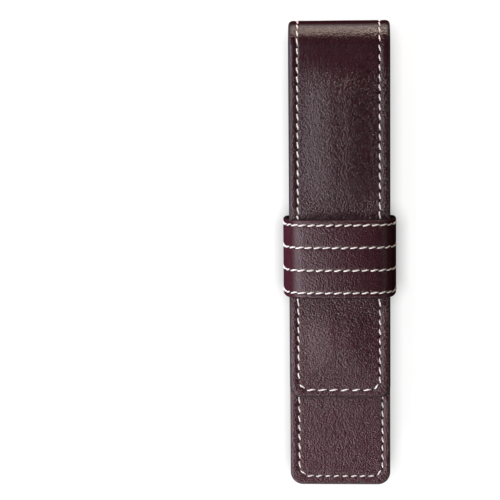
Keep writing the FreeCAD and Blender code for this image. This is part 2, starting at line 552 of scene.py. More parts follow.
@dataclass(frozen=True)
class Relief:
    """How the sewing draws a sheet in, and how the sheet swells between its rows."""

    valley: float = 0.2 * MM
    valley_reach: float = 0.32 * MM
    bead: float = 0.14 * MM
    bead_reach: float = 0.8 * MM
    dimple: float = 0.16 * MM
    dimple_reach: float = 0.42 * MM
    swell: float = 0.16 * MM
    swell_start: float = 1.0 * MM
    swell_reach: float = 12.5 * MM
    holds: tuple[Hold, ...] = ()
    press_start: float = 8 * MM
    press_reach: float = 8 * MM
    press_ease: float = 5 * MM
    plain: Pair | None = None
    plain_ease: float = 6 * MM
    unevenness: float = 0.03 * MM
    wave_across: Pair = (310, 1.3)
    wave_along: Pair = (190, 0.4)
    wave_slant: Pair = (83, -140)
    wave_rim: float = 4 * MM

    def lift(self, seam: Array, rim_gap: Array, across: Array, along: Array) -> Array:
        """Height of a face over its plain course.

        Args:
            seam: Where each place lies beside its nearest row.
            rim_gap: Distance of each place from the rim.
            across: Places across the sheet.
            along: Places along the sheet.

        Returns:
            The heights, below zero in the valleys.
        """
        stitches, away, outside = np.moveaxis(seam, -1, 0)
        nearest = np.abs(stitches - np.round(stitches)) * STITCH_PITCH
        bead = np.full_like(along, self.bead)
        if self.plain is not None:
            bead *= 1 - eased(*self.plain, self.plain_ease, along)
        inner = self.valley * np.exp(-((away / self.valley_reach) ** 2))
        outer = (self.valley + bead) * np.exp(-((away / self.bead_reach) ** 2)) - bead
        valley = np.where(outside == 1, outer, inner)
        hole = self.dimple * np.exp(-((away**2 + nearest**2) / self.dimple_reach**2))
        swell = self.swell * soft_step((rim_gap - self.swell_start) / self.swell_reach)
        press = np.zeros_like(along)
        side = np.clip((np.abs(across) - self.press_start) / self.press_reach, 0, 1) ** 2
        for hold in self.holds:
            swell = swell * (1 - (1 - hold.share) * eased(hold.low, hold.high, hold.reach, along))
            press += hold.press * side * eased(hold.low, hold.high, self.press_ease, along)
        return swell - press - valley - hole + self.unevenness * self.waves(rim_gap, across, along)

    def waves(self, rim_gap: Array, across: Array, along: Array) -> Array:
        """The slow waves of an uneven hide.

        Args:
            rim_gap: Distance of each place from the rim, towards which the waves fade.
            across: Places across the sheet.
            along: Places along the sheet.

        Returns:
            The waves, from about -2 to 2.
        """
        crossed = np.sin(across * self.wave_across[0] + self.wave_across[1])
        crossed *= np.sin(along * self.wave_along[0] + self.wave_along[1])
        slanted = np.sin(along * self.wave_slant[0] + across * self.wave_slant[1])
        return (crossed + slanted) * np.clip(rim_gap / self.wave_rim, 0, 1)


@dataclass(frozen=True)
class Taper(Relief):
    """A face that is raised along some stretches of its sheet, where the leather is skived."""

    amount: float = 0.0
    stretches: tuple[Pair, ...] = ()
    ease: float = 1.5 * MM

    def lift(self, seam: Array, rim_gap: Array, across: Array, along: Array) -> Array:
        """Height of a face over its plain course.

        Args:
            seam: Where each place lies beside its nearest row.
            rim_gap: Distance of each place from the rim.
            across: Places across the sheet.
            along: Places along the sheet.

        Returns:
            The heights.
        """
        share = np.zeros_like(along)
        for low, high in self.stretches:
            inside = np.minimum(along - low, high - along) / self.ease
            share = np.maximum(share, soft_step((inside + 1) / 2))
        return self.amount * share


@dataclass(frozen=True)
class SheetPlan:
    """Plan of a sheet whose rim is rolled outside its face.

    A radius of None is an end that is cut square, to run on into another sheet.
    """

    half: float
    low: float
    high: float
    rim: float
    low_radius: float | None
    high_radius: float | None
    closed: bool = False
    corner_stations: int = 9

    @property
    def face_half(self) -> float:
        """Half width of the face inside the rim."""
        return self.half - self.rim

    @property
    def face_low(self) -> float:
        """Low end of the face."""
        return self.low if self.low_radius is None else self.low + self.rim

    @property
    def face_high(self) -> float:
        """High end of the face."""
        return self.high if self.high_radius is None else self.high - self.rim

    def corner(self, along: Array, high: bool) -> tuple[Array, float]:
        """How far places lie into the rounding of an end's corners.

        Args:
            along: Places along the sheet.
            high: Whether the high end is meant.

        Returns:
            The share of the rounding at each place, 1 at the end itself, and the radius on the face.
        """
        radius = self.high_radius if high else self.low_radius
        if radius is None:
            return np.zeros_like(along), 0.0
        inner = radius - self.rim
        gap = self.face_high - along if high else along - self.face_low
        return np.clip(1 - gap / inner, 0, 1), inner

    def stations(self, step: float, zones: Sequence[Zone]) -> Array:
        """Places along the face, with stations that round the corners evenly.

        Args:
            step: Distance between stations outside the zones.
            zones: Stretches with a step of their own.

        Returns:
            The stations in order.
        """
        ends = []
        quarter = 1 - np.cos(np.linspace(0, math.pi / 2, self.corner_stations))
        low, high = self.face_low, self.face_high
        if self.low_radius is not None:
            inner = self.low_radius - self.rim
            ends.append(low + inner * quarter[:-1])
            low += inner
        middle_high = high - (self.high_radius - self.rim if self.high_radius is not None else 0)
        ends.append(graded(low, middle_high, step, zones))
        if self.high_radius is not None:
            ends.append(high - (high - middle_high) * quarter[-2::-1])
        return np.concatenate(ends)

    def grid(self, columns: Array, stations: Array) -> tuple[Array, Array]:
        """The face's grid of places.

        Args:
            columns: Places across the face where it is widest.
            stations: Places along the face.

        Returns:
            The grid's places across, and its places along.
        """
        narrowing = np.zeros_like(stations)
        for high in (False, True):
            share, inner = self.corner(stations, high)
            narrowing += inner * (1 - np.sqrt(1 - share**2))
        across = columns[None, :] * (1 - narrowing / self.face_half)[:, None]
        return across, np.repeat(stations[:, None], len(columns), axis=1)

    def rim_loops(self, rows: int, columns: int) -> list[tuple[Array, Array]]:
        """Goes round the face's rim, in the order that faces it outwards.

        Args:
            rows: Rows of the face's grid.
            columns: Columns of the face's grid.

        Returns:
            The grid rows and columns of each loop of the rim.
        """
        up = np.arange(rows)
        right = np.arange(columns)
        if self.closed:
            return [(up, np.full(rows, columns - 1)), (up[::-1], np.zeros(rows, int))]
        row = np.concatenate([np.zeros(columns, int), up[1:], np.full(columns - 1, rows - 1), up[-2:0:-1]])
        column = np.concatenate(
            [right, np.full(rows - 1, columns - 1), right[-2::-1], np.zeros(rows - 2, int)]
        )
        return [(row, column)]

    def outward(self, row: Array, column: Array, stations: Array, columns: int) -> Array:
        """Direction out of the face on the plan at each place of its rim.

        Args:
            row: Grid row of each place.
            column: Grid column of each place.
            stations: Places along the face of the grid's rows.
            columns: Columns of the grid.

        Returns:
            The directions, shorter than one at a square cut.
        """
        side = np.where(column == 0, -1.0, np.where(column == columns - 1, 1.0, 0.0))
        across = side.copy()
        along = np.zeros_like(side)
        for high, sign in ((False, -1.0), (True, 1.0)):
            share, inner = self.corner(stations[row], high)
            if inner:
                across = np.where(share > 0, side * np.sqrt(1 - share**2), across)
                along = along + sign * share
        return np.stack([across, along], axis=-1)


def rim_distance(plan: SheetPlan, across: Array, along: Array) -> Array:
    """Distance of places on a face from its sewn or painted sides and ends.

    Args:
        plan: The sheet's plan.
        across: Places across the sheet.
        along: Places along the sheet.

    Returns:
        The distances.
    """
    gap = plan.face_half - np.abs(across)
    if not plan.closed:
        if plan.low_radius is not None:
            gap = np.minimum(gap, along - plan.face_low)
        if plan.high_radius is not None:
            gap = np.minimum(gap, plan.face_high - along)
    return np.maximum(gap, 0)


def measure_seam(rows: Sequence[StitchRow], across: Array, along: Array) -> Array:
    """Where each place on a plan lies beside its nearest row.

    Args:
        rows: The seam's rows.
        across: Places across the sheet.
        along: Places along the sheet.

    Returns:
        What the nearest row measures at each place.
    """
    best = np.full(across.shape + (3,), NO_SEAM)
    middle = (along.min() + along.max()) / 2
    for row in rows:
        measured = row.measure(across, along, middle)
        nearer = measured[..., 1] < best[..., 1]
        best[nearer] = measured[nearer]
    return best


def make_piece(name: str, points: Array, faces: Sequence[Sequence[int]], finish: Material) -> Piece:
    """A smooth mesh piece with its place in its mesh.

    Args:
        name: Name of the piece.
        points: Its points.
        faces: Its faces, as lists of points.
        finish: Its material.

    Returns:
        The piece's object.
    """
    mesh = bpy.data.meshes.new(name)
    mesh.from_pydata(points, [], faces)
    mesh.polygons.foreach_set("use_smooth", np.ones(len(mesh.polygons), bool))
    mesh.materials.append(finish)
    mesh.update()
    piece = bpy.data.objects.new(name, mesh)
    bpy.context.scene.collection.objects.link(piece)
    return piece


def keep_marks(piece: Piece, marks: Mapping[Mark, Array]) -> None:
    """Keeps numbers or vectors on the points of a piece.

    Args:
        piece: The piece.
        marks: The values of each mark, a number or a row of three for each point.
    """
    for mark, values in marks.items():
        vector = values.ndim == 2
        attribute = piece.data.attributes.new(mark.value, "FLOAT_VECTOR" if vector else "FLOAT", "POINT")
        attribute.data.foreach_set("vector" if vector else "value", values.astype(np.float32).ravel())


def flat(across: Array, along: Array, out: Array) -> Array:
    """Places on a hide before it is laid, as rows of three."""
    return np.stack([across, along, out], axis=-1).reshape(-1, 3)


@dataclass
class Sheet:
    """A closed sheet of leather with a rolled rim, laid on its course."""

    name: str
    course: Course
    plan: SheetPlan
    wall: float
    columns: Array
    stations: Array
    rows: list[StitchRow]
    outer: Relief | None = None
    inner: Relief | None = None
    rim_steps: int = 10
    paint_power: int = 3
    steep: Pair = NEVER_STEEP
    tones: Profile = ((0.0, 0.5),)
    grains: Profile = ((0.0, 1.0),)

    def build(self, finish: Material) -> Piece:
        """The sheet's piece, with the marks that its material reads.

        Args:
            finish: The sheet's material.

        Returns:
            The piece's object.
        """
        across, along = self.plan.grid(self.columns, self.stations)
        seam = measure_seam(self.rows, across, along)
        gap = rim_distance(self.plan, across, along)
        top, under = (
            np.zeros_like(across) if relief is None else relief.lift(seam, gap, across, along)
            for relief in (self.outer, self.inner)
        )
        count = across.size
        grid = np.arange(count).reshape(across.shape)
        hides = [flat(across, along, top), flat(across, along, -self.wall - under)]
        seams = [seam.reshape(-1, 3)] * 2
        paints = [np.zeros(2 * count)]
        faces = self.face_quads(grid, False) + self.face_quads(grid + count, True)
        total = 2 * count
        for rim in self.plan.rim_loops(*across.shape):
            out = self.plan.outward(*rim, self.stations, across.shape[1])
            rings = [grid[rim]]
            for step in range(1, self.rim_steps):
                turn = math.pi * step / self.rim_steps
                reach = self.plan.rim * math.sin(turn)
                rise = math.cos(turn)
                lift = (top if rise > 0 else under)[rim]
                height = -self.wall / 2 + (self.wall / 2 + lift) * rise
                hides.append(flat(across[rim] + reach * out[:, 0], along[rim] + reach * out[:, 1], height))
                seams.append(seam[rim])
                paints.append(np.hypot(*out.T) * math.sin(turn) ** self.paint_power)
                rings.append(np.arange(total, total + len(out)))
                total += len(out)
            rings.append(grid[rim] + count)
            for near, far in zip(rings, rings[1:]):
                faces += np.stack([near, far, np.roll(far, -1), np.roll(near, -1)], axis=1).tolist()
        hide = np.concatenate(hides)
        piece = make_piece(self.name, self.course.point(*hide.T), faces, finish)
        marks = {
            Mark.HIDE: hide,
            Mark.PAINT: np.concatenate(paints),
            Mark.STEEP: self.steepness(hide),
            Mark.TONE: np.interp(hide[:, 1], *zip(*self.tones)),
            Mark.GRAIN: np.interp(hide[:, 1], *zip(*self.grains)),
            Mark.SEAM: np.concatenate(seams),
        }
        keep_marks(piece, marks)
        self.sharpen_cuts(piece, hide)
        return piece

    def steepness(self, hide: Array) -> Array:
        """How far each point lies on a steep side of the course.

        Args:
            hide: Places of the points on the hide.

        Returns:
            The steepness, from 0 to 1 over the sheet's range.
        """
        raised = hide + np.array([0.0, 0.0, PROBE])
        out = unit(self.course.point(*raised.T) - self.course.point(*hide.T))
        low, high = self.steep
        return soft_step((1 - np.abs(out[:, 2]) - low) / (high - low))

    def face_quads(self, grid: Array, turned: bool) -> list[list[int]]:
        """The faces of one side of the sheet.

        Args:
            grid: Numbers of the points of that side.
            turned: Whether the side faces inwards on the course.

        Returns:
            The faces as lists of points.
        """
        rows = np.concatenate([grid, grid[:1]]) if self.plan.closed else grid
        corners = [rows[:-1, :-1], rows[:-1, 1:], rows[1:, 1:], rows[1:, :-1]]
        if turned:
            corners.reverse()
        return np.stack([corner.ravel() for corner in corners], axis=1).tolist()

    def sharpen_cuts(self, piece: Piece, hide: Array) -> None:
        """Keeps a square cut from tinting the shading of the face that runs on past it.

        Args:
            piece: The sheet's piece.
            hide: Places of its points on the hide.
        """
        plan = self.plan
        ends = ((plan.low, plan.low_radius), (plan.high, plan.high_radius))
        cuts = [place for place, radius in ends if radius is None]
        if plan.closed or not cuts:
            return
        edges = piece.data.edges
        pairs = np.zeros(len(edges) * 2, int)
        edges.foreach_get("vertices", pairs)
        along = hide[pairs.reshape(-1, 2), 1]
        sharp = np.zeros(len(edges), bool)
        for cut in cuts:
            sharp |= np.all(np.abs(along - cut) < SAME_PLACE, axis=1)
        edges.foreach_set("use_edge_sharp", sharp)


class Signal:
    """An output of a node, for writing the maths of nodes as expressions."""

    def __init__(self, sheet: "NodeSheet", socket: bpy.types.NodeSocket) -> None:
        """Wraps a socket of a sheet of nodes."""
        self.sheet = sheet
        self.socket = socket

    def maths(self, operation: str, first: object, second: object = 0.0) -> "Signal":
        """The output of a Math node."""
        sockets = {"Value": first, "Value_001": second}
        return self.sheet.add("ShaderNodeMath", {"operation": operation}, sockets)

    def __add__(self, other: object) -> "Signal":
        """The sum with a number or another signal."""
        return self.maths("ADD", self, other)

    def __radd__(self, other: object) -> "Signal":
        """The sum with a number on the left."""
        return self.maths("ADD", other, self)

    def __sub__(self, other: object) -> "Signal":
        """The difference to a number or another signal."""
        return self.maths("SUBTRACT", self, other)

    def __rsub__(self, other: object) -> "Signal":
        """The difference of a number on the left."""
        return self.maths("SUBTRACT", other, self)

    def __mul__(self, other: object) -> "Signal":
        """The product with a number or another signal."""
        return self.maths("MULTIPLY", self, other)

    def __rmul__(self, other: object) -> "Signal":
        """The product with a number on the left."""
        return self.maths("MULTIPLY", other, self)

    def root(self) -> "Signal":
        """The square root."""
        return self.maths("SQRT", self)

    def at_most(self, other: object) -> "Signal":
        """The lesser of this and another."""
        return self.maths("MINIMUM", self, other)

    def at_least(self, other: object) -> "Signal":
        """The greater of this and another."""
        return self.maths("MAXIMUM", self, other)

    def near_whole(self) -> "Signal":
        """Distance from the nearest whole number."""
        return self.maths("ABSOLUTE", self - self.maths("ROUND", self))

    def smooth(self, low: float, high: float) -> "Signal":
        """A soft step from 0 at low to 1 at high."""
        sockets = {"Value": self, "From Min": low, "From Max": high}
        return self.sheet.add("ShaderNodeMapRange", {"interpolation_type": "SMOOTHSTEP"}, sockets)


class NodeSheet:
    """A tree of nodes that is filled in by calls."""

    def __init__(self, tree: bpy.types.NodeTree) -> None:
        """Wraps an empty tree."""
        self.tree = tree

    @classmethod
    def of_material(cls, name: str) -> tuple["NodeSheet", Material]:
        """Makes a new material with an empty tree.

        Args:
            name: Name of the material.

        Returns:
            The tree's sheet, and the material.
        """
        material = bpy.data.materials.new(name)
        material.use_nodes = True
        material.node_tree.nodes.clear()
        return cls(material.node_tree), material

    @staticmethod
    def find(sockets: Sequence[bpy.types.NodeSocket], key: str) -> bpy.types.NodeSocket:
        """Finds a socket by its identifier, or else by its name.

        Args:
            sockets: The inputs or outputs of a node.
            key: The identifier or the name.

        Returns:
            The socket.
        """
        for socket in sockets:
            if socket.identifier == key:
                return socket
        return next(socket for socket in sockets if socket.name == key)

    def add(
        self,
        kind: str,
        settings: Mapping[str, object] | None = None,
        sockets: Mapping[str, object] | None = None,
        output: str | None = None,
    ) -> Signal | None:
        """A new node.

        Args:
            kind: Type of the node.
            settings: Its settings.
            sockets: Values or signals of its inputs.
            output: The output that is wanted, by name, or None for the first that is on.

        Returns:
            That output, or None where the node has no outputs.
        """
        node = self.tree.nodes.new(kind)
        for key, value in (settings or {}).items():
            setattr(node, key, value)
        for key, value in (sockets or {}).items():
            socket = self.find(node.inputs, key)
            if isinstance(value, Signal):
                self.tree.links.new(value.socket, socket)
            else:
                socket.default_value = value
        if not node.outputs:
            return None
        if output is not None:
            return Signal(self, self.find(node.outputs, output))
        return Signal(self, next(socket for socket in node.outputs if socket.enabled))

    def mark(self, mark: Mark, output: str) -> Signal:
        """A value kept on the points of the piece."""
        settings = {"attribute_type": "GEOMETRY", "attribute_name": mark.value}
        return self.add("ShaderNodeAttribute", settings, output=output)

    def noise(self, vector: Signal, size: float, detail: float = 1.0, roughness: float = 0.5) -> Signal:
        """Soft noise whose features are of a size."""
        sockets = {"Vector": vector, "Scale": 1 / size, "Detail": detail, "Roughness": roughness}
        return self.add("ShaderNodeTexNoise", None, sockets, "Fac")

    def mix(self, share: object, first: object, second: object) -> Signal:
        """A mix of two colours."""
        sockets = {"Factor_Float": share, "A_Color": first, "B_Color": second}
        return self.add("ShaderNodeMix", {"data_type": "RGBA"}, sockets, "Result_Color")

    def mix_shaders(self, share: Signal, first: Signal, second: Signal) -> Signal:
        """A mix of two shaders."""
        return self.add("ShaderNodeMixShader", None, {"Fac": share, "Shader": first, "Shader_001": second})

    def bump(self, height: Signal, relief: float) -> Signal:
        """A normal that follows a height, from 0 to 1 over the relief."""
        return self.add("ShaderNodeBump", None, {"Height": height, "Strength": 1.0, "Distance": relief})

    def principled(self, sockets: Mapping[str, object]) -> Signal:
        """A Principled shader with these sockets."""
        return self.add("ShaderNodeBsdfPrincipled", None, sockets)

    def finish(self, surface: Signal) -> None:
        """Makes a shader the material's surface."""
        self.add("ShaderNodeOutputMaterial", None, {"Surface": surface})


def opaque(colour: Colour) -> tuple[float, float, float, float]:
    """A colour with its alpha."""
    return (*colour, 1.0)


@dataclass(frozen=True)
class LeatherFinish:
    """Grained leather, with its cut edge rolled and painted.

    The sizes of its creases, pores and warp are counted in grains.
    """

    name: str
    deep: Colour
    full: Colour
    paint: Colour
    grain: float = 0.6 * MM
    relief: float = 0.46 * MM
    roughness: float = 0.20
    specular: float = 0.6
    pebble_softness: float = 0.3
    pore_size: float = 0.7
    crease_size: float = 1.0
    crease_slant: float = math.radians(48)
    crease_stretch: float = 4.0
    warp_size: float = 2.2
    warp_reach: float = 0.9
    warp_detail: float = 2.0
    mottle_size: float = 9 * MM
    mottle_noise: Pair = (4.0, 0.55)
    pebble_height: float = 0.5
    pore_height: float = 0.5
    crease_height: float = 0.35
    pebble_level: float = 0.55
    pebble_peak: float = 0.6
    crease_peak: float = 0.5
    peak_range: Pair = (-0.15, 0.2)
    hollow_shine: float = 0.8
    mottled_roughness: float = 0.14
    pebble_roughness: float = 0.1
    smooth_pebble: float = 0.6
    tone_share: float = 0.55
    peak_share: float = 0.8
    base_share: float = 0.25
    hole_range: Pair = (0.12 * MM, 0.45 * MM)
    hole_share: float = 0.75
    hole_tone: float = 0.2
    paint_range: Pair = (0.08, 0.4)
    paint_wear: float = 0.12
    dull_roughness: float = 0.60
    dull_unevenness: float = 0.2
    dull_specular: float = 0.0
    dull_relief: float = 0.3
    dull_mottle: float = 0.5
    steep_loss: float = 0.97
    glance_blend: float = 0.5
    glance_range: Pair = (0.38, 0.6)
    glance_loss: float = 0.8

    def material(self) -> Material:
        """Mixes the glossy skin with the dull leather of painted, steep and glancing places.

        Returns:
            The material of this finish.
        """
        sheet, material = NodeSheet.of_material(self.name)
        pebble, pores, crease, mottle = self.patterns(sheet)
        painted = sheet.mark(Mark.PAINT, "Fac").smooth(*self.paint_range)
        steep = self.steep_loss * sheet.mark(Mark.STEEP, "Fac")
        facing = sheet.add("ShaderNodeLayerWeight", None, {"Blend": self.glance_blend}, "Facing")
        glance = self.glance_loss * facing.smooth(*self.glance_range)
        peak = self.pebble_peak * (pebble - self.pebble_level) + (pores - NOISE_MIDDLE)
        peak = peak + self.crease_peak * (crease - NOISE_MIDDLE)
        raised = self.hollow_shine + (1 - self.hollow_shine) * peak.smooth(*self.peak_range)
        shine = raised * (1 - painted.at_least(steep)) * (1 - glance)
        # Painted light and shade from the sheet's light level, with the grain's peaks lighter and its hollows
        # darker.
        tone = self.tone_share * sheet.mark(Mark.TONE, "Fac") + self.peak_share * peak + self.base_share
        leather = sheet.mix(tone, opaque(self.deep), opaque(self.full))
        # Painted shade in the awl's holes: the colour darkens there to a fraction of the deep colour.
        dark = tuple(self.hole_tone * value for value in self.deep)
        sewn = sheet.mix(self.hole_share * self.holes(sheet), leather, opaque(dark))
        paint = sheet.mix(self.paint_wear * pores, opaque(self.paint), opaque(self.full))
        height = self.pebble_height * pebble + self.pore_height * pores + self.crease_height * crease
        roughness = self.roughness + self.mottled_roughness * (mottle - NOISE_MIDDLE)
        skin = sheet.principled(
            {
                "Base Color": sewn,
                "Roughness": roughness + self.pebble_roughness * (self.smooth_pebble - pebble),
                "Normal": sheet.bump(height * sheet.mark(Mark.GRAIN, "Fac"), self.relief),
                "Specular IOR Level": self.specular,
            }
        )
        dull = sheet.principled(
            {
                "Base Color": sheet.mix(painted, sewn, paint),
                "Roughness": self.dull_roughness + self.dull_unevenness * (pores - NOISE_MIDDLE),
                "Normal": sheet.bump(pores + self.dull_mottle * mottle, self.dull_relief * self.relief),
                "Specular IOR Level": self.dull_specular,
            }
        )
        sheet.finish(sheet.mix_shaders(shine, dull, skin))
        return material

    def patterns(self, sheet: NodeSheet) -> tuple[Signal, Signal, Signal, Signal]:
        """Draws the patterns of the hide.

        Args:
            sheet: The material's nodes.

        Returns:
            The hide's pebbles, its fine pores, its slanting creases and its broad mottling.
        """
        hide = sheet.mark(Mark.HIDE, "Vector")
        warp_scale = 1 / (self.warp_size * self.grain)
        warp_sockets = {"Vector": hide, "Scale": warp_scale, "Detail": self.warp_detail}
        warp = sheet.add("ShaderNodeTexNoise", None, warp_sockets, "Color")
        bent = sheet.add(
            "ShaderNodeVectorMath",
            {"operation": "MULTIPLY_ADD"},
            {"Vector": warp, "Vector_001": (self.warp_reach * self.grain,) * 3, "Vector_002": hide},
            "Vector",
        )
        gap = sheet.add(
            "ShaderNodeTexVoronoi",
            {"feature": "SMOOTH_F1"},
            {"Vector": bent, "Scale": 1 / self.grain, "Smoothness": self.pebble_softness},
            "Distance",
        )
        slanted = sheet.add(
            "ShaderNodeMapping",
            {"vector_type": "TEXTURE"},
            {
                "Vector": hide,
                "Rotation": (0.0, 0.0, self.crease_slant),
                "Scale": (self.crease_stretch, 1.0, 1.0),
            },
        )
        pores = sheet.noise(hide, self.pore_size * self.grain)
        crease = sheet.noise(slanted, self.crease_size * self.grain)
        return 1 - gap, pores, crease, sheet.noise(hide, self.mottle_size, *self.mottle_noise)

    def holes(self, sheet: NodeSheet) -> Signal:
        """Draws painted shade in the awl's holes between the stitches.

        Args:
            sheet: The material's nodes.

        Returns:
            1 in the middle of each hole, and 0 beside it.
        """
        seam = sheet.mark(Mark.SEAM, "Vector")
        stitches, away = (sheet.add("ShaderNodeSeparateXYZ", None, {"Vector": seam}, axis) for axis in "XY")
        forward = stitches.near_whole() * STITCH_PITCH
        return 1 - (forward * forward + away * away).root().smooth(*self.hole_range)


@dataclass(frozen=True)
class ThreadFinish:
    """Waxed, off-white thread."""

    name: str
    light: Colour
    shade: Colour
    roughness: float = 0.55
    unevenness: float = 0.2
    sheen: float = 0.2
    fibre: float = 0.18 * MM
    fibre_noise: Pair = (3.0, 0.6)
    fibre_relief: float = 0.04 * MM
    fibre_share: float = 0.45
    stain: float = 2.5 * MM
    stain_detail: float = 2.0
    tone_range: Pair = (0.3, 0.7)

    def material(self) -> Material:
        """Draws the thread's fibres and stains.

        Returns:
            The material of this finish.
        """
        sheet, material = NodeSheet.of_material(self.name)
        place = sheet.add("ShaderNodeTexCoord", None, None, "Object")
        fibre = sheet.noise(place, self.fibre, *self.fibre_noise)
        stain = sheet.noise(place, self.stain, self.stain_detail)
        tone = (self.fibre_share * fibre + (1 - self.fibre_share) * stain).smooth(*self.tone_range)
        surface = sheet.principled(
            {
                "Base Color": sheet.mix(tone, opaque(self.shade), opaque(self.light)),
                "Roughness": self.roughness + self.unevenness * (fibre - NOISE_MIDDLE),
                "Normal": sheet.bump(fibre, self.fibre_relief),
                "Sheen Weight": self.sheen,
            }
        )
        sheet.finish(surface)
        return material


class StitchTree:
    """Geometry nodes that set a twisted stitch on each point of a row."""

    SIZES = {
        "Length": ("NodeSocketFloat", 2.4 * MM),
        "Thread": ("NodeSocketFloat", 0.34 * MM),
        "Flatness": ("NodeSocketFloat", 0.8),
        "Twist": ("NodeSocketFloat", 1.1 * math.tau),
        "Plunge": ("NodeSocketFloat", 0.34 * MM),
        "Crown": ("NodeSocketFloat", 0.1 * MM),
        "Slant": ("NodeSocketFloat", math.radians(13)),
        "Unevenness": ("NodeSocketFloat", math.radians(3)),
        "Seed": ("NodeSocketInt", 7),
        "Finish": ("NodeSocketMaterial", None),
    }
    LINE_STEPS = 6
    RING_STEPS = 8
    LENGTH_RANGE = (0.94, 1.05)

    def __init__(self) -> None:
        """Builds the tree once, for all the rows."""
        self.tree = bpy.data.node_groups.new("stitch_rows", "GeometryNodeTree")
        interface = self.tree.interface
        interface.new_socket("Points", in_out="INPUT", socket_type="NodeSocketGeometry")
        self.identifiers: dict[str, str] = {}
        for name, (kind, value) in self.SIZES.items():
            socket = interface.new_socket(name, in_out="INPUT", socket_type=kind)
            if value is not None:
                socket.default_value = value
            self.identifiers[name] = socket.identifier
        interface.new_socket("Stitches", in_out="OUTPUT", socket_type="NodeSocketGeometry")
        self.sheet = NodeSheet(self.tree)
        entry = self.tree.nodes.new("NodeGroupInput")
        self.inputs = {socket.name: Signal(self.sheet, socket) for socket in entry.outputs if socket.name}
        self.wire()

    def named(self, mark: Mark, kind: str) -> Signal:
        """A value kept on the points of the rows."""
        sockets = {"Name": mark.value}
        return self.sheet.add("GeometryNodeInputNamedAttribute", {"data_type": kind}, sockets, "Attribute")

    def chance(self, low: object, high: object, seed: Signal) -> Signal:
        """A random number for each stitch."""
        sockets = {"Min_001": low, "Max_001": high, "Seed": seed}
        return self.sheet.add("FunctionNodeRandomValue", {"data_type": "FLOAT"}, sockets, "Value_001")

    def stitch(self) -> Signal:
        """Shapes one stitch that arches up and dives at its ends, lying along X.

        Returns:
            The stitch's mesh.
        """
        sheet, inputs = self.sheet, self.inputs
        half = 0.5 * inputs["Length"]
        low = -1 * inputs["Plunge"]
        crest = 2 * inputs["Crown"] + inputs["Plunge"]
        corners = {"Start": {"X": -1 * half, "Z": low}, "Middle": {"Z": crest}, "End": {"X": half, "Z": low}}
        places = {name: sheet.add("ShaderNodeCombineXYZ", None, place) for name, place in corners.items()}
        line = sheet.add("GeometryNodeCurveQuadraticBezier", None, {"Resolution": self.LINE_STEPS, **places})
        share = sheet.add("GeometryNodeSplineParameter", None, None, "Factor")
        tilt = share * inputs["Twist"]
        twisted = sheet.add("GeometryNodeSetCurveTilt", None, {"Curve": line, "Tilt": tilt})
        ring_sockets = {"Resolution": self.RING_STEPS, "Radius": inputs["Thread"]}
        ring = sheet.add("GeometryNodeCurvePrimitiveCircle", None, ring_sockets, "Curve")
        flatness = sheet.add("ShaderNodeCombineXYZ", None, {"X": 1.0, "Y": inputs["Flatness"], "Z": 1.0})
        oval = sheet.add("GeometryNodeTransform", None, {"Geometry": ring, "Scale": flatness})
        sweep = {"Curve": twisted, "Profile Curve": oval, "Fill Caps": True}
        return sheet.add("GeometryNodeCurveToMesh", None, sweep)

    def turning(self) -> Signal:
        """Turns each stitch along its row and out of its sheet, and slants it.

        Returns:
            The rotations.
        """
        sheet, inputs = self.sheet, self.inputs
        align = "FunctionNodeAlignRotationToVector"
        run = {"Vector": self.named(Mark.RUN, "FLOAT_VECTOR")}
        turn = sheet.add(align, {"axis": "X", "pivot_axis": "AUTO"}, run)
        out = {"Rotation": turn, "Vector": self.named(Mark.OUT, "FLOAT_VECTOR")}
        turn = sheet.add(align, {"axis": "Z", "pivot_axis": "X"}, out)
        jitter = self.chance(-1 * inputs["Unevenness"], inputs["Unevenness"], inputs["Seed"])
        angles = sheet.add("ShaderNodeCombineXYZ", None, {"Z": inputs["Slant"] + jitter})
        slant = sheet.add("FunctionNodeEulerToRotation", None, {"Euler": angles})
        both = {"Rotation": turn, "Rotate By": slant}
        return sheet.add("FunctionNodeRotateRotation", {"rotation_space": "LOCAL"}, both)

    def wire(self) -> None:
        """Sets the stitches on the points and gives them their finish."""
        sheet, inputs = self.sheet, self.inputs
        length = self.chance(*self.LENGTH_RANGE, inputs["Seed"] + 1) * self.named(Mark.STRETCH, "FLOAT")
        scale = sheet.add("ShaderNodeCombineXYZ", None, {"X": length, "Y": 1.0, "Z": 1.0})
        placing = {
            "Points": inputs["Points"],
            "Instance": self.stitch(),
            "Rotation": self.turning(),
            "Scale": scale,
        }
        placed = sheet.add("GeometryNodeInstanceOnPoints", None, placing)
        solid = sheet.add("GeometryNodeRealizeInstances", None, {"Geometry": placed})
        dressing = {"Geometry": solid, "Material": inputs["Finish"]}
        dressed = sheet.add("GeometryNodeSetMaterial", None, dressing)
        sheet.add("NodeGroupOutput", None, {"Stitches": dressed})

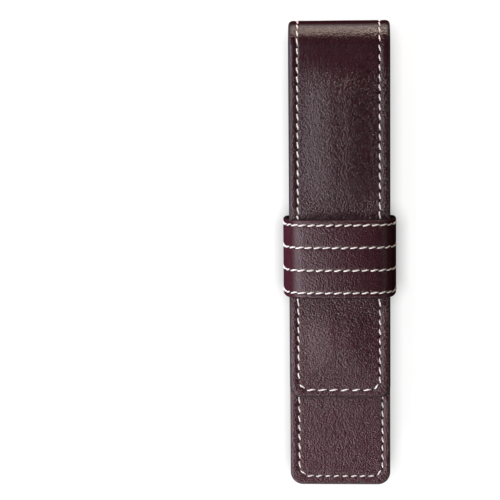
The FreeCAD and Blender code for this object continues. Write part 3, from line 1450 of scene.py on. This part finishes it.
    def sew(self, name: str, spots: "StitchSpots", sizes: Mapping[str, object]) -> Piece:
        """A piece of stitches.

        Args:
            name: Name of the piece.
            spots: Where its stitches lie.
            sizes: Values of the tree's named inputs.

        Returns:
            The piece's object, a plain mesh.
        """
        points = bpy.data.meshes.new(name + "_points")
        points.from_pydata(spots.places, [], [])
        holder = bpy.data.objects.new(name + "_points", points)
        bpy.context.scene.collection.objects.link(holder)
        marks = {Mark.RUN: spots.runs, Mark.OUT: spots.outs, Mark.STRETCH: spots.stretches}
        keep_marks(holder, marks)
        modifier = holder.modifiers.new("stitches", "NODES")
        modifier.node_group = self.tree
        for key, value in sizes.items():
            modifier[self.identifiers[key]] = value
        bpy.context.view_layer.update()
        graph = bpy.context.evaluated_depsgraph_get()
        mesh = bpy.data.meshes.new_from_object(holder.evaluated_get(graph), depsgraph=graph)
        holder.modifiers.remove(modifier)
        bpy.data.objects.remove(holder)
        mesh.name = name
        for mark in marks:
            leftover = mesh.attributes.get(mark.value)
            if leftover is not None:
                mesh.attributes.remove(leftover)
        mesh.polygons.foreach_set("use_smooth", np.ones(len(mesh.polygons), bool))
        piece = bpy.data.objects.new(name, mesh)
        bpy.context.scene.collection.objects.link(piece)
        return piece


@dataclass
class StitchSpots:
    """Places and directions of the stitches of one piece."""

    places: Array
    runs: Array
    outs: Array
    stretches: Array

    @classmethod
    def on_rows(
        cls,
        course: Course,
        rows: Sequence[StitchRow],
        depth: float,
        low: float = -math.inf,
        high: float = math.inf,
    ) -> "StitchSpots":
        """The stitches of rows on a course.

        Args:
            course: Where the rows' plan runs.
            rows: The rows.
            depth: How far the stitches lie under the face.
            low: Place along the plan from which stitches are taken.
            high: Place along the plan up to which they are taken.

        Returns:
            The spots.
        """
        centres = np.concatenate([row.centres() for row in rows])
        steps = np.concatenate([np.repeat(row.step[None], row.count, axis=0) for row in rows])
        stretches = np.concatenate([np.full(row.count, row.stretch) for row in rows])
        kept = (centres[:, 1] >= low) & (centres[:, 1] < high)
        across, along = centres[kept].T
        runs, outs = course.directions(across, along, steps[kept])
        return cls(course.point(across, along, np.full(len(across), -depth)), runs, outs, stretches[kept])

    def turned_over(self) -> "StitchSpots":
        """The same stitches facing the other way."""
        return replace(self, outs=-self.outs)

    def joined(self, *others: "StitchSpots") -> "StitchSpots":
        """These stitches and others together."""
        values = zip(*((spots.places, spots.runs, spots.outs, spots.stretches) for spots in (self, *others)))
        return StitchSpots(*(np.concatenate(value) for value in values))


@dataclass
class Wardrobe:
    """The materials of the sleeve and the tree that sews it."""

    outer: Material
    band: Material
    lining: Material
    gusset: Material
    thread: Material
    sewing: StitchTree

    @classmethod
    def stock(cls) -> "Wardrobe":
        """Makes the finishes of this sleeve.

        Returns:
            The wardrobe.
        """
        outer = LeatherFinish(
            "burgundy_leather",
            deep=(0.021, 0.0052, 0.0085),
            full=(0.070, 0.0175, 0.027),
            # Edge paint, lighter than the band's dark paint, so that it is partly edge paint and partly
            # painted sheen on the lit edges.
            paint=(0.045, 0.039, 0.044),
        )
        band = replace(outer, name="burgundy_band_leather", paint=(0.018, 0.0145, 0.016))
        lining = LeatherFinish(
            "dark_lining_leather",
            deep=(0.012, 0.006, 0.007),
            full=(0.03, 0.014, 0.017),
            paint=(0.006, 0.0045, 0.0055),
            relief=0.08 * MM,
            roughness=0.6,
        )
        gusset = LeatherFinish(
            "gusset_leather",
            deep=(0.018, 0.007, 0.009),
            full=(0.042, 0.015, 0.02),
            paint=lining.paint,
            grain=0.9 * MM,
            relief=0.2 * MM,
            roughness=0.45,
        )
        thread = ThreadFinish("waxed_thread", light=(0.98, 0.94, 0.92), shade=(0.92, 0.84, 0.81))
        finishes = [finish.material() for finish in (outer, band, lining, gusset, thread)]
        return cls(*finishes, StitchTree())

    def sew(self, name: str, spots: StitchSpots, stitching: Stitching, seed: int) -> Piece:
        """A piece of stitches of the sleeve's thread."""
        sizes = {"Length": stitching.length, "Thread": stitching.thread, "Seed": seed, "Finish": self.thread}
        return self.sewing.sew(name, spots, sizes)


def settle(piece: Piece, slot: Slot, nodes: Sequence[str]) -> None:
    """Hides the nodes that a piece stands in for, and logs it.

    Args:
        piece: The piece.
        slot: Not used.
        nodes: The nodes that it replaces.
    """
    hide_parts(*nodes)
    LOG.info("%s: %d faces", piece.name, len(piece.data.polygons))


def settle_on_sleeve(pieces: Iterable[tuple[Piece, Slot, str]]) -> None:
    """Makes pieces ride on the sleeve, each in place of a node.

    Args:
        pieces: The pieces, with their slots and their nodes.
    """
    for piece, slot, node in pieces:
        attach(piece, Body.SLEEVE.value)
        settle(piece, slot, [node])


@dataclass
class Strip:
    """The strip of leather that is the back, the fold and the flap, with its lining and seam.

    Its painted light levels, lighter towards the flap's tip and darker round the fold, and its grains are
    counted along the strip from the flap's tip.
    """

    places: SleevePlaces
    wardrobe: Wardrobe
    stitching: Stitching
    sides: Pair = (-14.15 * MM, 13.65 * MM)
    side_starts: Pair = (6.1 * MM, 4.6 * MM)
    side_pitches: Pair = (3.16 * MM, 3.31 * MM)
    tip_inset: float = 2.8 * MM
    tip_pitch: float = 3.8 * MM
    tip_fill: float = 1.12
    bottom_inset: float = 3.0 * MM
    tip_radius: float = 4.0 * MM
    bottom_radius: float = 4.3 * MM
    rim: float = 1.6 * MM
    swell: float = 1.8 * MM
    tip_hold: float = 8 * MM
    fold_hold: float = 2 * MM
    step: float = 0.42 * MM
    fold_step: float = 0.25 * MM
    fold_margin: float = 1 * MM
    steep: Pair = (0.34, 0.56)
    # Painted light levels: lighter towards the flap's tip, and painted shade round the fold.
    tones: Profile = (
        (20 * MM, 0.7),
        (80 * MM, 0.0),
        (100 * MM, 0.05),
        (118 * MM, 0.05),
        (126 * MM, -0.4),
        (142 * MM, -0.4),
        (150 * MM, 0.05),
    )
    grains: Profile = (
        (108 * MM, 1.0),
        (117 * MM, 0.3),
        (119 * MM, 0.3),
        (125 * MM, 0.55),
        (146 * MM, 0.55),
        (156 * MM, 1.0),
    )
    lining_inset: float = 1.3 * MM
    lining_wall: float = 0.5 * MM
    lining_proud: float = 0.05 * MM
    lining_rim: float = 0.25 * MM
    lining_step: float = 0.8 * MM
    lining_relief: Relief = Relief(swell=0.0, bead=0.0, unevenness=0.01 * MM)
    lining_tones: Profile = ((0.0, 0.2),)
    first_cut: float = 120.0
    second_cut: float = 60.0
    thread_depth: float = 0.2 * MM
    seed: int = 7

    def __post_init__(self) -> None:
        """Lays the strip's course and its seam."""
        self.course = StripCourse(self.places)
        length = self.course.length
        last = length - self.bottom_inset
        clear = self.stitching.corner_clear
        self.rows = [
            self.stitching.row((side, start), (side, last - clear), pitch)
            for side, start, pitch in zip(self.sides, self.side_starts, self.side_pitches)
        ]
        self.rows += self.stitching.end_rows(self.sides, self.tip_inset, 1, self.tip_pitch, self.tip_fill)
        self.rows += self.stitching.end_rows(self.sides, last, -1, self.stitching.pitch)
        band = [edge - self.places.tip for edge in (self.places.band_low, self.places.band_high)]
        self.holds = (
            Hold(0.0, self.tip_hold, share=0.35, reach=12 * MM),
            Hold(*band, share=0.1, reach=14 * MM, press=0.9 * MM),
            Hold(self.course.flap_length - self.fold_hold, length, share=0.0, reach=16 * MM),
        )
        cuts = [self.course.fold_place(angle) for angle in (self.first_cut, self.second_cut)]
        self.spans = {"flap": (0.0, cuts[0]), "fold": (cuts[0], cuts[1]), "back": (cuts[1], length)}

    def sheet(self, part: str, lining: bool) -> Sheet:
        """The leather or the lining of one part of the strip.

        Args:
            part: Which part of the strip.
            lining: Whether its lining is meant.

        Returns:
            The sheet, ready to build.
        """
        low, high = self.spans[part]
        inset = self.lining_inset if lining else 0.0
        tip = part == "flap"
        bottom = part == "back"
        plan = SheetPlan(
            half=self.places.half_width - inset,
            low=low + (inset if tip else 0),
            high=high - (inset if bottom else 0),
            rim=self.lining_rim if lining else self.rim,
            low_radius=self.tip_radius - inset if tip else None,
            high_radius=self.bottom_radius - inset if bottom else None,
        )
        step = self.lining_step if lining else self.step
        length = self.course.length
        fold = (self.course.flap_length, self.course.flap_length + self.course.fold_length)
        zones = [
            Zone(fold[0] - self.fold_margin, fold[1], self.fold_step),
            *beside([self.tip_inset]),
            Zone(length - self.bottom_inset - SEAM_REACH, length, SEAM_STEP),
        ]
        leather = Sheet(
            name=f"{part}_leather",
            course=self.course,
            plan=plan,
            wall=self.places.strip_wall,
            columns=graded(-plan.face_half, plan.face_half, step, beside(self.sides)),
            stations=plan.stations(step, zones),
            rows=self.rows,
            outer=Relief(swell=self.swell, holds=self.holds, plain=fold),
            steep=self.steep,
            tones=self.tones,
            grains=self.grains,
        )
        if not lining:
            return leather
        return replace(
            leather,
            name=f"{part}_lining_sheet",
            course=SunkCourse(self.course, self.places.strip_wall - self.lining_wall + self.lining_proud),
            wall=self.lining_wall,
            outer=None,
            inner=self.lining_relief,
            steep=NEVER_STEEP,
            tones=self.lining_tones,
        )

    def bend(self, piece: Piece, part: str) -> None:
        """Bakes a piece's place into its mesh; the two bodies and angles of its part of the strip are looked
        up, but nothing bends it.

        Args:
            piece: The piece.
            part: Which part of the strip it is.
        """
        bodies = {
            "flap": (Body.FOLD_FRONT, Body.FLAP, self.first_cut, 180.0),
            "fold": (Body.FOLD_BACK, Body.FOLD_FRONT, self.second_cut, self.first_cut),
            "back": (Body.SLEEVE, Body.FOLD_BACK, 0.0, self.second_cut),
        }
        first, second, *angles = bodies[part]
        for turn in map(math.radians, angles):
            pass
        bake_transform(piece)

    def thread(self, part: str) -> Piece:
        """Sews one part of the strip, on its leather and where its lining shows.

        Args:
            part: Which part of the strip.

        Returns:
            The piece of its stitches.
        """
        low, high = self.spans[part]
        spots = StitchSpots.on_rows(self.course, self.rows, self.thread_depth, low, high)
        inside = SunkCourse(self.course, self.places.strip_wall)
        sewn_high = min(high, self.course.fold_place(0) + self.places.fold_y - self.places.mouth)
        lined = StitchSpots.on_rows(inside, self.rows, -self.thread_depth, low, sewn_high).turned_over()
        return self.wardrobe.sew(f"{part}_seam_thread", spots.joined(lined), self.stitching, self.seed)

    def build(self) -> None:
        """Builds and dresses the strip's pieces."""
        stems = {"flap": ["flap"], "fold": ["fold_back", "fold_front"], "back": ["back"]}
        threads = {
            "flap": ["flap_stitches"],
            "fold": ["fold_back_stitches", "fold_front_stitches"],
            "back": ["back_seam_stitches"],
        }
        for part, names in stems.items():
            leather = self.sheet(part, False).build(self.wardrobe.outer)
            lining = self.sheet(part, True).build(self.wardrobe.lining)
            for piece, slot, nodes in (
                (leather, Slot.OUTER, [f"{name}_outer" for name in names]),
                (lining, Slot.LINING, [f"{name}_lining" for name in names]),
                (self.thread(part), Slot.THREAD, threads[part]),
            ):
                self.bend(piece, part)
                settle(piece, slot, nodes)


@dataclass
class Front:
    """The front panel of the pouch, with its lining and seam."""

    places: SleevePlaces
    wardrobe: Wardrobe
    stitching: Stitching
    sides: Pair = (-14.08 * MM, 14.6 * MM)
    side_pitches: Pair = (3.25 * MM, 3.02 * MM)
    bottom_inset: float = 3.15 * MM
    bottom_pitch: float = 3.05 * MM
    bottom_radius: float = 4.3 * MM
    mouth_radius: float = 2.4 * MM
    rim: float = 1.0 * MM
    step: float = 0.42 * MM
    relief: Relief = Relief(swell=0.2 * MM)
    # Painted light: the pouch's front is set at its lightest level.
    tones: Profile = ((0.0, 1.0),)
    lining_inset: float = 1.5 * MM
    lining_wall: float = 0.5 * MM
    lining_proud: float = 0.05 * MM
    lining_rim: float = 0.25 * MM
    lining_step: float = 1.2 * MM
    thread_depth: float = 0.2 * MM
    seed: int = 11

    def __post_init__(self) -> None:
        """Lays the front's course and its seam."""
        places = self.places
        self.course = PanelCourse(places.bottom, places.front_face)
        self.length = places.mouth - places.bottom
        self.wall = places.front_face - places.front_low
        first = self.bottom_inset + self.stitching.corner_clear
        self.rows = [
            self.stitching.row((side, first), (side, self.length), pitch)
            for side, pitch in zip(self.sides, self.side_pitches)
        ]
        self.rows += self.stitching.end_rows(self.sides, self.bottom_inset, 1, self.bottom_pitch)

    def leather(self) -> Piece:
        """Builds the front's outer leather.

        Returns:
            The piece.
        """
        half = self.places.half_width
        plan = SheetPlan(half, 0.0, self.length, self.rim, self.bottom_radius, self.mouth_radius)
        return Sheet(
            name="front_leather",
            course=self.course,
            plan=plan,
            wall=self.wall,
            columns=graded(-plan.face_half, plan.face_half, self.step, beside(self.sides)),
            stations=plan.stations(self.step, beside([self.bottom_inset])),
            rows=self.rows,
            outer=self.relief,
            tones=self.tones,
        ).build(self.wardrobe.outer)

    def lining(self) -> Piece:
        """Builds the front's lining, a little proud inside the leather.

        Returns:
            The piece.
        """
        inset = self.lining_inset
        plan = SheetPlan(
            half=self.places.half_width - inset,
            low=inset,
            high=self.length - inset,
            rim=self.lining_rim,
            low_radius=self.bottom_radius - inset,
            high_radius=self.mouth_radius - inset,
        )
        return Sheet(
            name="front_lining_sheet",
            course=SunkCourse(self.course, self.wall - self.lining_wall + self.lining_proud),
            plan=plan,
            wall=self.lining_wall,
            columns=graded(-plan.face_half, plan.face_half, self.lining_step),
            stations=plan.stations(self.lining_step, []),
            rows=self.rows,
        ).build(self.wardrobe.lining)

    def thread(self) -> Piece:
        """The stitches of the front's seam."""
        spots = StitchSpots.on_rows(self.course, self.rows, self.thread_depth)
        return self.wardrobe.sew("front_seam_thread", spots, self.stitching, self.seed)

    def build(self) -> None:
        """Builds and dresses the front's pieces."""
        pieces = (
            (self.leather(), Slot.OUTER, "front_outer"),
            (self.lining(), Slot.LINING, "front_lining"),
            (self.thread(), Slot.THREAD, "front_seam_stitches"),
        )
        settle_on_sleeve(pieces)


@dataclass
class Gusset:
    """The turned-in gusset that holds the front off the back."""

    places: SleevePlaces
    wardrobe: Wardrobe
    wall: float = 1.3 * MM
    flange: float = 4.3 * MM
    flange_gap: float = 0.05 * MM
    bend: float = 2.0 * MM
    bend_steps: int = 6
    corner: float = 2.0 * MM
    corner_steps: int = 9
    inset: float = 4.6 * MM
    mouth_gap: float = 0.4 * MM
    side_steps: int = 60
    floor_steps: int = 24
    tone: float = 0.5

    def path(self) -> tuple[Array, Array]:
        """The line of the gusset's wall in plan, from mouth to mouth.

        Returns:
            The points, and the directions outwards at each.
        """
        half = self.places.half_width - self.inset
        low = self.places.bottom + self.inset
        side = np.linspace(self.places.mouth - self.mouth_gap, low + self.corner, self.side_steps)
        turn = np.linspace(0, math.pi / 2, self.corner_steps)[1:-1]
        floor = np.linspace(-half + self.corner, half - self.corner, self.floor_steps)
        side_points = np.stack([np.full_like(side, -half), side], axis=1)
        side_outs = np.tile([-1.0, 0.0], (len(side), 1))
        turn_outs = np.stack([-np.cos(turn), -np.sin(turn)], axis=1)
        turn_points = np.array([-half, low]) + self.corner * (1 + turn_outs)
        points = np.concatenate([side_points, turn_points])
        outs = np.concatenate([side_outs, turn_outs])
        floor_points = np.stack([floor, np.full_like(floor, low)], axis=1)
        floor_outs = np.tile([0.0, -1.0], (len(floor), 1))
        mirror = np.array([-1.0, 1.0])
        return (
            np.concatenate([points, floor_points, points[::-1] * mirror]),
            np.concatenate([outs, floor_outs, outs[::-1] * mirror]),
        )

    def arc(self, radius: float, height: float, start: float, end: float) -> Array:
        """Rounds a bend of the section, on the gusset's inside.

        Args:
            radius: Radius of the bend.
            height: Height of its middle.
            start: Where it starts, in radians from straight up.
            end: Where it ends.

        Returns:
            Places outwards from the wall and up.
        """
        turn = np.linspace(start, end, self.bend_steps)
        outwards = self.bend - self.wall - radius * np.sin(turn)
        return np.stack([outwards, height + radius * np.cos(turn)], axis=1)

    def profile(self) -> Array:
        """Draws the section of the gusset, turned-in flanges first.

        Returns:
            Places outwards from its wall and up.
        """
        low = self.places.back_face + self.places.strip_wall
        high = self.places.front_low
        inside = self.bend - self.wall
        quarter = math.pi / 2
        runs = [
            [(self.flange, high - self.flange_gap)],
            self.arc(self.bend, high - self.bend, 0.0, quarter),
            self.arc(self.bend, low + self.bend, quarter, math.pi),
            [(self.flange, low + self.flange_gap), (self.flange, low + self.wall)],
            self.arc(inside, low + self.bend, math.pi, quarter),
            self.arc(inside, high - self.bend, quarter, 0.0),
            [(self.flange, high - self.wall)],
        ]
        return np.concatenate(runs)

    @staticmethod
    def lengths(points: Array) -> Array:
        """Length along a line up to each of its points."""
        return np.concatenate([[0], np.cumsum(np.linalg.norm(np.diff(points, axis=0), axis=1))])

    def build(self) -> None:
        """Builds and dresses the gusset."""
        path, outs = self.path()
        profile = self.profile()
        steps, sides = len(path), len(profile)
        count = steps * sides
        plan = path[:, None, :] + outs[:, None, :] * profile[None, :, :1]
        points = np.concatenate([plan, np.repeat(profile[None, :, 1:], steps, axis=0)], axis=2).reshape(-1, 3)
        grid = np.arange(count).reshape(steps, sides)
        ahead = np.roll(grid, -1, axis=1)
        quads = np.stack([grid[:-1], grid[1:], ahead[1:], ahead[:-1]], axis=-1).reshape(-1, 4)
        faces = quads.tolist() + [grid[0].tolist(), grid[-1][::-1].tolist()]
        piece = make_piece("gusset_leather", points, faces, self.wardrobe.gusset)
        girth = np.tile(self.lengths(profile), steps)
        run = np.repeat(self.lengths(path), sides)
        marks = {
            Mark.HIDE: flat(girth, run, np.zeros(count)),
            Mark.PAINT: np.zeros(count),
            Mark.STEEP: np.zeros(count),
            Mark.TONE: np.full(count, self.tone),
            Mark.GRAIN: np.ones(count),
            Mark.SEAM: np.tile([0.0, NO_SEAM, 0.0], (count, 1)),
        }
        keep_marks(piece, marks)
        settle_on_sleeve([(piece, Slot.GUSSET, "gusset")])


@dataclass
class Band:
    """The broad loop that the flap tucks under, with its lining and four rows of stitches."""

    places: SleevePlaces
    wardrobe: Wardrobe
    stitching: Stitching
    shoulder_drop: float = 0.4 * MM
    front_radius: float = 8.0 * MM
    back_radius: float = 3.2 * MM
    crown_angle: float = math.radians(10)
    lean_angle: float = math.radians(10)
    tuck_angle: float = math.radians(2)
    skive: float = 0.8 * MM
    rim: float = 0.9 * MM
    across_step: float = 0.5 * MM
    along_step: float = 0.4 * MM
    row_reach: float = 1.2 * MM
    row_step: float = 0.22 * MM
    relief: Relief = Relief(
        valley=0.24 * MM,
        valley_reach=0.6 * MM,
        bead=0.0,
        bead_reach=0.6 * MM,
        swell=0.0,
        unevenness=0.0,
    )
    steep: Pair = (0.02, 0.30)
    grains: Profile = ((0.0, 0.65),)
    rows: tuple[float, ...] = (-11.55 * MM, -3.85 * MM, 3.9 * MM, 11.55 * MM)
    first_stitches: tuple[float, ...] = (-0.7 * MM, -0.7 * MM, -1.4 * MM, -0.3 * MM)
    spare_stitches: int = 2
    pitch: float = 3.12 * MM
    share: float = 0.88
    lining_inset: float = 1.0 * MM
    lining_wall: float = 0.4 * MM
    lining_proud: float = 0.03 * MM
    lining_rim: float = 0.2 * MM
    lining_across_step: float = 1.5 * MM
    lining_along_step: float = 0.8 * MM
    thread_depth: float = 0.2 * MM
    back_thread_depth: float = 0.4 * MM
    seed: int = 20

    def __post_init__(self) -> None:
        """Lays the band's course and its rows, which run on past the ends of the loop's plan."""
        places = self.places
        self.half = (places.band_high - places.band_low) / 2
        self.course = BandCourse(
            half=places.band_half,
            shoulder=places.band_top - self.shoulder_drop,
            middle_y=(places.band_low + places.band_high) / 2,
            front_radius=self.front_radius,
            back_radius=self.back_radius,
            crown_angle=self.crown_angle,
            lean_angle=self.lean_angle,
            tuck_angle=self.tuck_angle,
        )
        self.length = self.course.length
        count = round(self.length / self.pitch)
        pitch = self.length / count
        self.seams = []
        for offset, first in zip(self.rows, self.first_stitches):
            start = (self.length / 2 - first) % pitch - (self.spare_stitches + 1) / 2 * pitch
            stitches = count + self.spare_stitches
            self.seams.append(StitchRow((offset, start), (offset, start + stitches * pitch), stitches))

    def taper(self, sign: float) -> Taper:
        """The skiving of the band's sides, outwards or inwards."""
        marks = self.course.marks()
        return Taper(amount=sign * self.skive, stretches=((marks[0], marks[3]), (marks[4], marks[7])))

    def leather(self) -> Piece:
        """Builds the band's outer leather.

        Returns:
            The piece.
        """
        plan = SheetPlan(self.half, 0.0, self.length, self.rim, None, None, closed=True)
        zones = beside(self.rows, self.row_reach, self.row_step)
        return Sheet(
            name="band_leather",
            course=self.course,
            plan=plan,
            wall=self.places.band_wall,
            columns=graded(-plan.face_half, plan.face_half, self.across_step, zones),
            stations=graded(0.0, self.length, self.along_step)[:-1],
            rows=self.seams,
            outer=self.relief,
            inner=self.taper(-1),
            steep=self.steep,
            grains=self.grains,
        ).build(self.wardrobe.band)

    def lining(self) -> Piece:
        """Builds the band's lining, a little proud inside the leather.

        Returns:
            The piece.
        """
        half = self.half - self.lining_inset
        plan = SheetPlan(half, 0.0, self.length, self.lining_rim, None, None, closed=True)
        return Sheet(
            name="band_lining_sheet",
            course=SunkCourse(self.course, self.places.band_wall - self.lining_wall + self.lining_proud),
            plan=plan,
            wall=self.lining_wall,
            columns=graded(-plan.face_half, plan.face_half, self.lining_across_step),
            stations=graded(0.0, self.length, self.lining_along_step)[:-1],
            rows=self.seams,
            outer=self.taper(1),
            inner=self.taper(-1),
        ).build(self.wardrobe.lining)

    def thread(self, number: int) -> Piece:
        """Sews one of the band's rows, sunk where the band lies on its back.

        Args:
            number: Number of the row, from 1.

        Returns:
            The piece of its stitches.
        """
        marks = self.course.marks()
        low, high = marks[1], marks[6]
        stretches = (
            (self.back_thread_depth, 0.0, low),
            (self.thread_depth, low, high),
            (self.back_thread_depth, high, self.length),
        )
        row = [self.seams[number - 1]]
        first, *others = (StitchSpots.on_rows(self.course, row, *stretch) for stretch in stretches)
        spots = first.joined(*others)
        stitching = replace(self.stitching, share=self.share)
        return self.wardrobe.sew(f"band_thread_{number}", spots, stitching, self.seed + number)

    def build(self) -> None:
        """Builds and dresses the band's pieces."""
        pieces = [(self.leather(), Slot.OUTER, "band_outer"), (self.lining(), Slot.LINING, "band_lining")]
        for number in range(1, len(self.rows) + 1):
            pieces.append((self.thread(number), Slot.THREAD, f"band_stitches_{number}"))
        settle_on_sleeve(pieces)


@dataclass(frozen=True)
class Softbox:
    """A square lamp with a soft face."""

    name: str
    place: Place
    aim: Place
    size: Pair
    power: float
    colour: Colour
    spread: float = math.pi

    def hang(self) -> None:
        """Puts the lamp in the scene."""
        lamp = bpy.data.lights.new(self.name, "AREA")
        lamp.shape = "RECTANGLE"
        lamp.size, lamp.size_y = self.size
        lamp.energy = self.power
        lamp.color = self.colour
        lamp.spread = self.spread
        holder = bpy.data.objects.new(self.name, lamp)
        holder.location = self.place
        direction = Vector(self.aim) - Vector(self.place)
        holder.rotation_euler = direction.to_track_quat("-Z", "Y").to_euler()
        bpy.context.scene.collection.objects.link(holder)


@dataclass
class Studio:
    """The floor, the lamps and the camera."""

    eye: Place = (0.0, 57 * MM, 600 * MM)
    target: Place = (-30.67 * MM, 2.03 * MM, 19 * MM)
    roll: float = -0.0083
    lens: float = 122.9
    sensor: float = 36.0
    sight: float = 20.0
    floor_size: float = 6.0
    floor_gap: float = 0.1 * MM
    floor_grey: float = 0.16
    glow: float = 0.95
    shade_reach: float = 6 * MM
    shade_samples: int = 16
    ambient: float = 0.05
    backdrop_top: float = 0.15
    sky_start: float = 0.22

    @staticmethod
    def seen(sheet: NodeSheet) -> Signal:
        """Tells where the background is seen straight, in gloss or through glass.

        Args:
            sheet: The nodes of the floor or the world.

        Returns:
            1 there, and 0 for the light that falls on things.
        """
        camera, gloss, glass = (
            sheet.add("ShaderNodeLightPath", None, None, f"Is {ray} Ray")
            for ray in ("Camera", "Glossy", "Transmission")
        )
        return (camera + gloss + glass).at_most(1.0)

    def floor_material(self) -> Material:
        """Mixes a pale floor that the camera sees as white where no shadow falls, with a contact shadow
        painted into its glow near the sleeve.

        Returns:
            The floor's material.
        """
        sheet, material = NodeSheet.of_material("pale_floor")
        matt = sheet.add("ShaderNodeBsdfDiffuse", None, {"Color": opaque((self.floor_grey,) * 3)})
        light = sheet.add("ShaderNodeEmission", None, {"Color": WHITE, "Strength": self.glow})
        lit = sheet.add("ShaderNodeAddShader", None, {"Shader": matt, "Shader_001": light})
        settings = {"samples": self.shade_samples}
        # Painted contact shadow: ambient occlusion dims the floor's glow near the sleeve.
        painted_shadow_openness = sheet.add("ShaderNodeAmbientOcclusion", settings, {"Distance": self.shade_reach}, "AO")
        sheet.finish(sheet.mix_shaders(self.seen(sheet) * painted_shadow_openness, matt, lit))
        return material

    def lay_floor(self) -> None:
        """Lays the floor under the sleeve."""
        reach = self.floor_size / 2
        corners = [(x * reach, y * reach, -self.floor_gap) for x, y in ((-1, -1), (1, -1), (1, 1), (-1, 1))]
        floor = make_piece("floor", np.array(corners), [[0, 1, 2, 3]], self.floor_material())

    def set_world(self) -> None:
        """A dim even sky over a white backdrop round the horizon."""
        world = bpy.data.worlds.new("studio")
        world.use_nodes = True
        world.node_tree.nodes.clear()
        bpy.context.scene.world = world
        sheet = NodeSheet(world.node_tree)
        way = sheet.add("ShaderNodeTexCoord", None, None, "Generated")
        height = sheet.add("ShaderNodeSeparateXYZ", None, {"Vector": way}, "Z")
        backdrop = self.seen(sheet) * (1.0 - height.smooth(self.backdrop_top, self.sky_start))
        sky = sheet.add("ShaderNodeBackground", None, {"Strength": self.ambient})
        white = sheet.add("ShaderNodeBackground", None, {"Color": WHITE, "Strength": 1.0})
        sheet.add("ShaderNodeOutputWorld", None, {"Surface": sheet.mix_shaders(backdrop, sky, white)})

    def hang_lamps(self) -> None:
        """Hangs the soft lamps."""
        white = (1.0, 0.96, 0.93)
        cool = (0.95, 0.95, 1.0)
        blue = (0.90, 0.90, 1.0)
        warm = (1.0, 0.78, 0.65)
        golden = (1.0, 0.68, 0.45)
        middle = (0.0, 0.0, 0.01)
        bottom = (0.0, -0.075, 0.01)
        fold = (0.0, 0.075, 0.012)
        for lamp in (
            Softbox("left", (-0.20, 0.03, 0.27), middle, (0.17, 0.24), 0.44, cool),
            Softbox("side", (-0.34, -0.02, 0.13), middle, (0.60, 0.24), 1.75, blue),
            Softbox("front", (-0.11, -0.28, 0.22), bottom, (0.22, 0.22), 0.088, white, math.radians(38)),
            Softbox("end", (0.0, 0.36, 0.08), fold, (0.34, 0.05), 1.0, warm),
            Softbox("right", (0.30, 0.0, 0.05), middle, (0.08, 0.25), 0.03, golden),
        ):
            lamp.hang()

    def set_camera(self) -> None:
        """Sets the camera over the sleeve, towards its fold."""
        lens = bpy.data.cameras.new("camera")
        lens.sensor_width = self.sensor
        lens.lens = self.lens
        lens.clip_end = self.sight
        camera = bpy.data.objects.new("camera", lens)
        back = (Vector(self.eye) - Vector(self.target)).normalized()
        right = Vector((0.0, 1.0, 0.0)).cross(back).normalized()
        up = back.cross(right)
        cosine, sine = math.cos(self.roll), math.sin(self.roll)
        axes = (cosine * right + sine * up, cosine * up - sine * right, back)
        camera.location = self.eye
        camera.rotation_euler = Matrix(axes).transposed().to_euler()
        bpy.context.scene.collection.objects.link(camera)
        bpy.context.scene.camera = camera

    def build(self) -> None:
        """Builds the whole studio."""
        bpy.context.scene.view_settings.view_transform = "Standard"
        self.lay_floor()
        self.set_world()
        self.hang_lamps()
        self.set_camera()


def main() -> None:
    """Builds and dresses the sleeve and its studio."""
    logging.basicConfig(level=logging.INFO, format="%(name)s %(message)s")
    places = SleevePlaces.read()
    wardrobe = Wardrobe.stock()
    stitching = Stitching()
    Strip(places, wardrobe, stitching).build()
    Front(places, wardrobe, stitching).build()
    Gusset(places, wardrobe).build()
    Band(places, wardrobe, stitching).build()
    Studio().build()


if __name__ == "__main__":
    main()
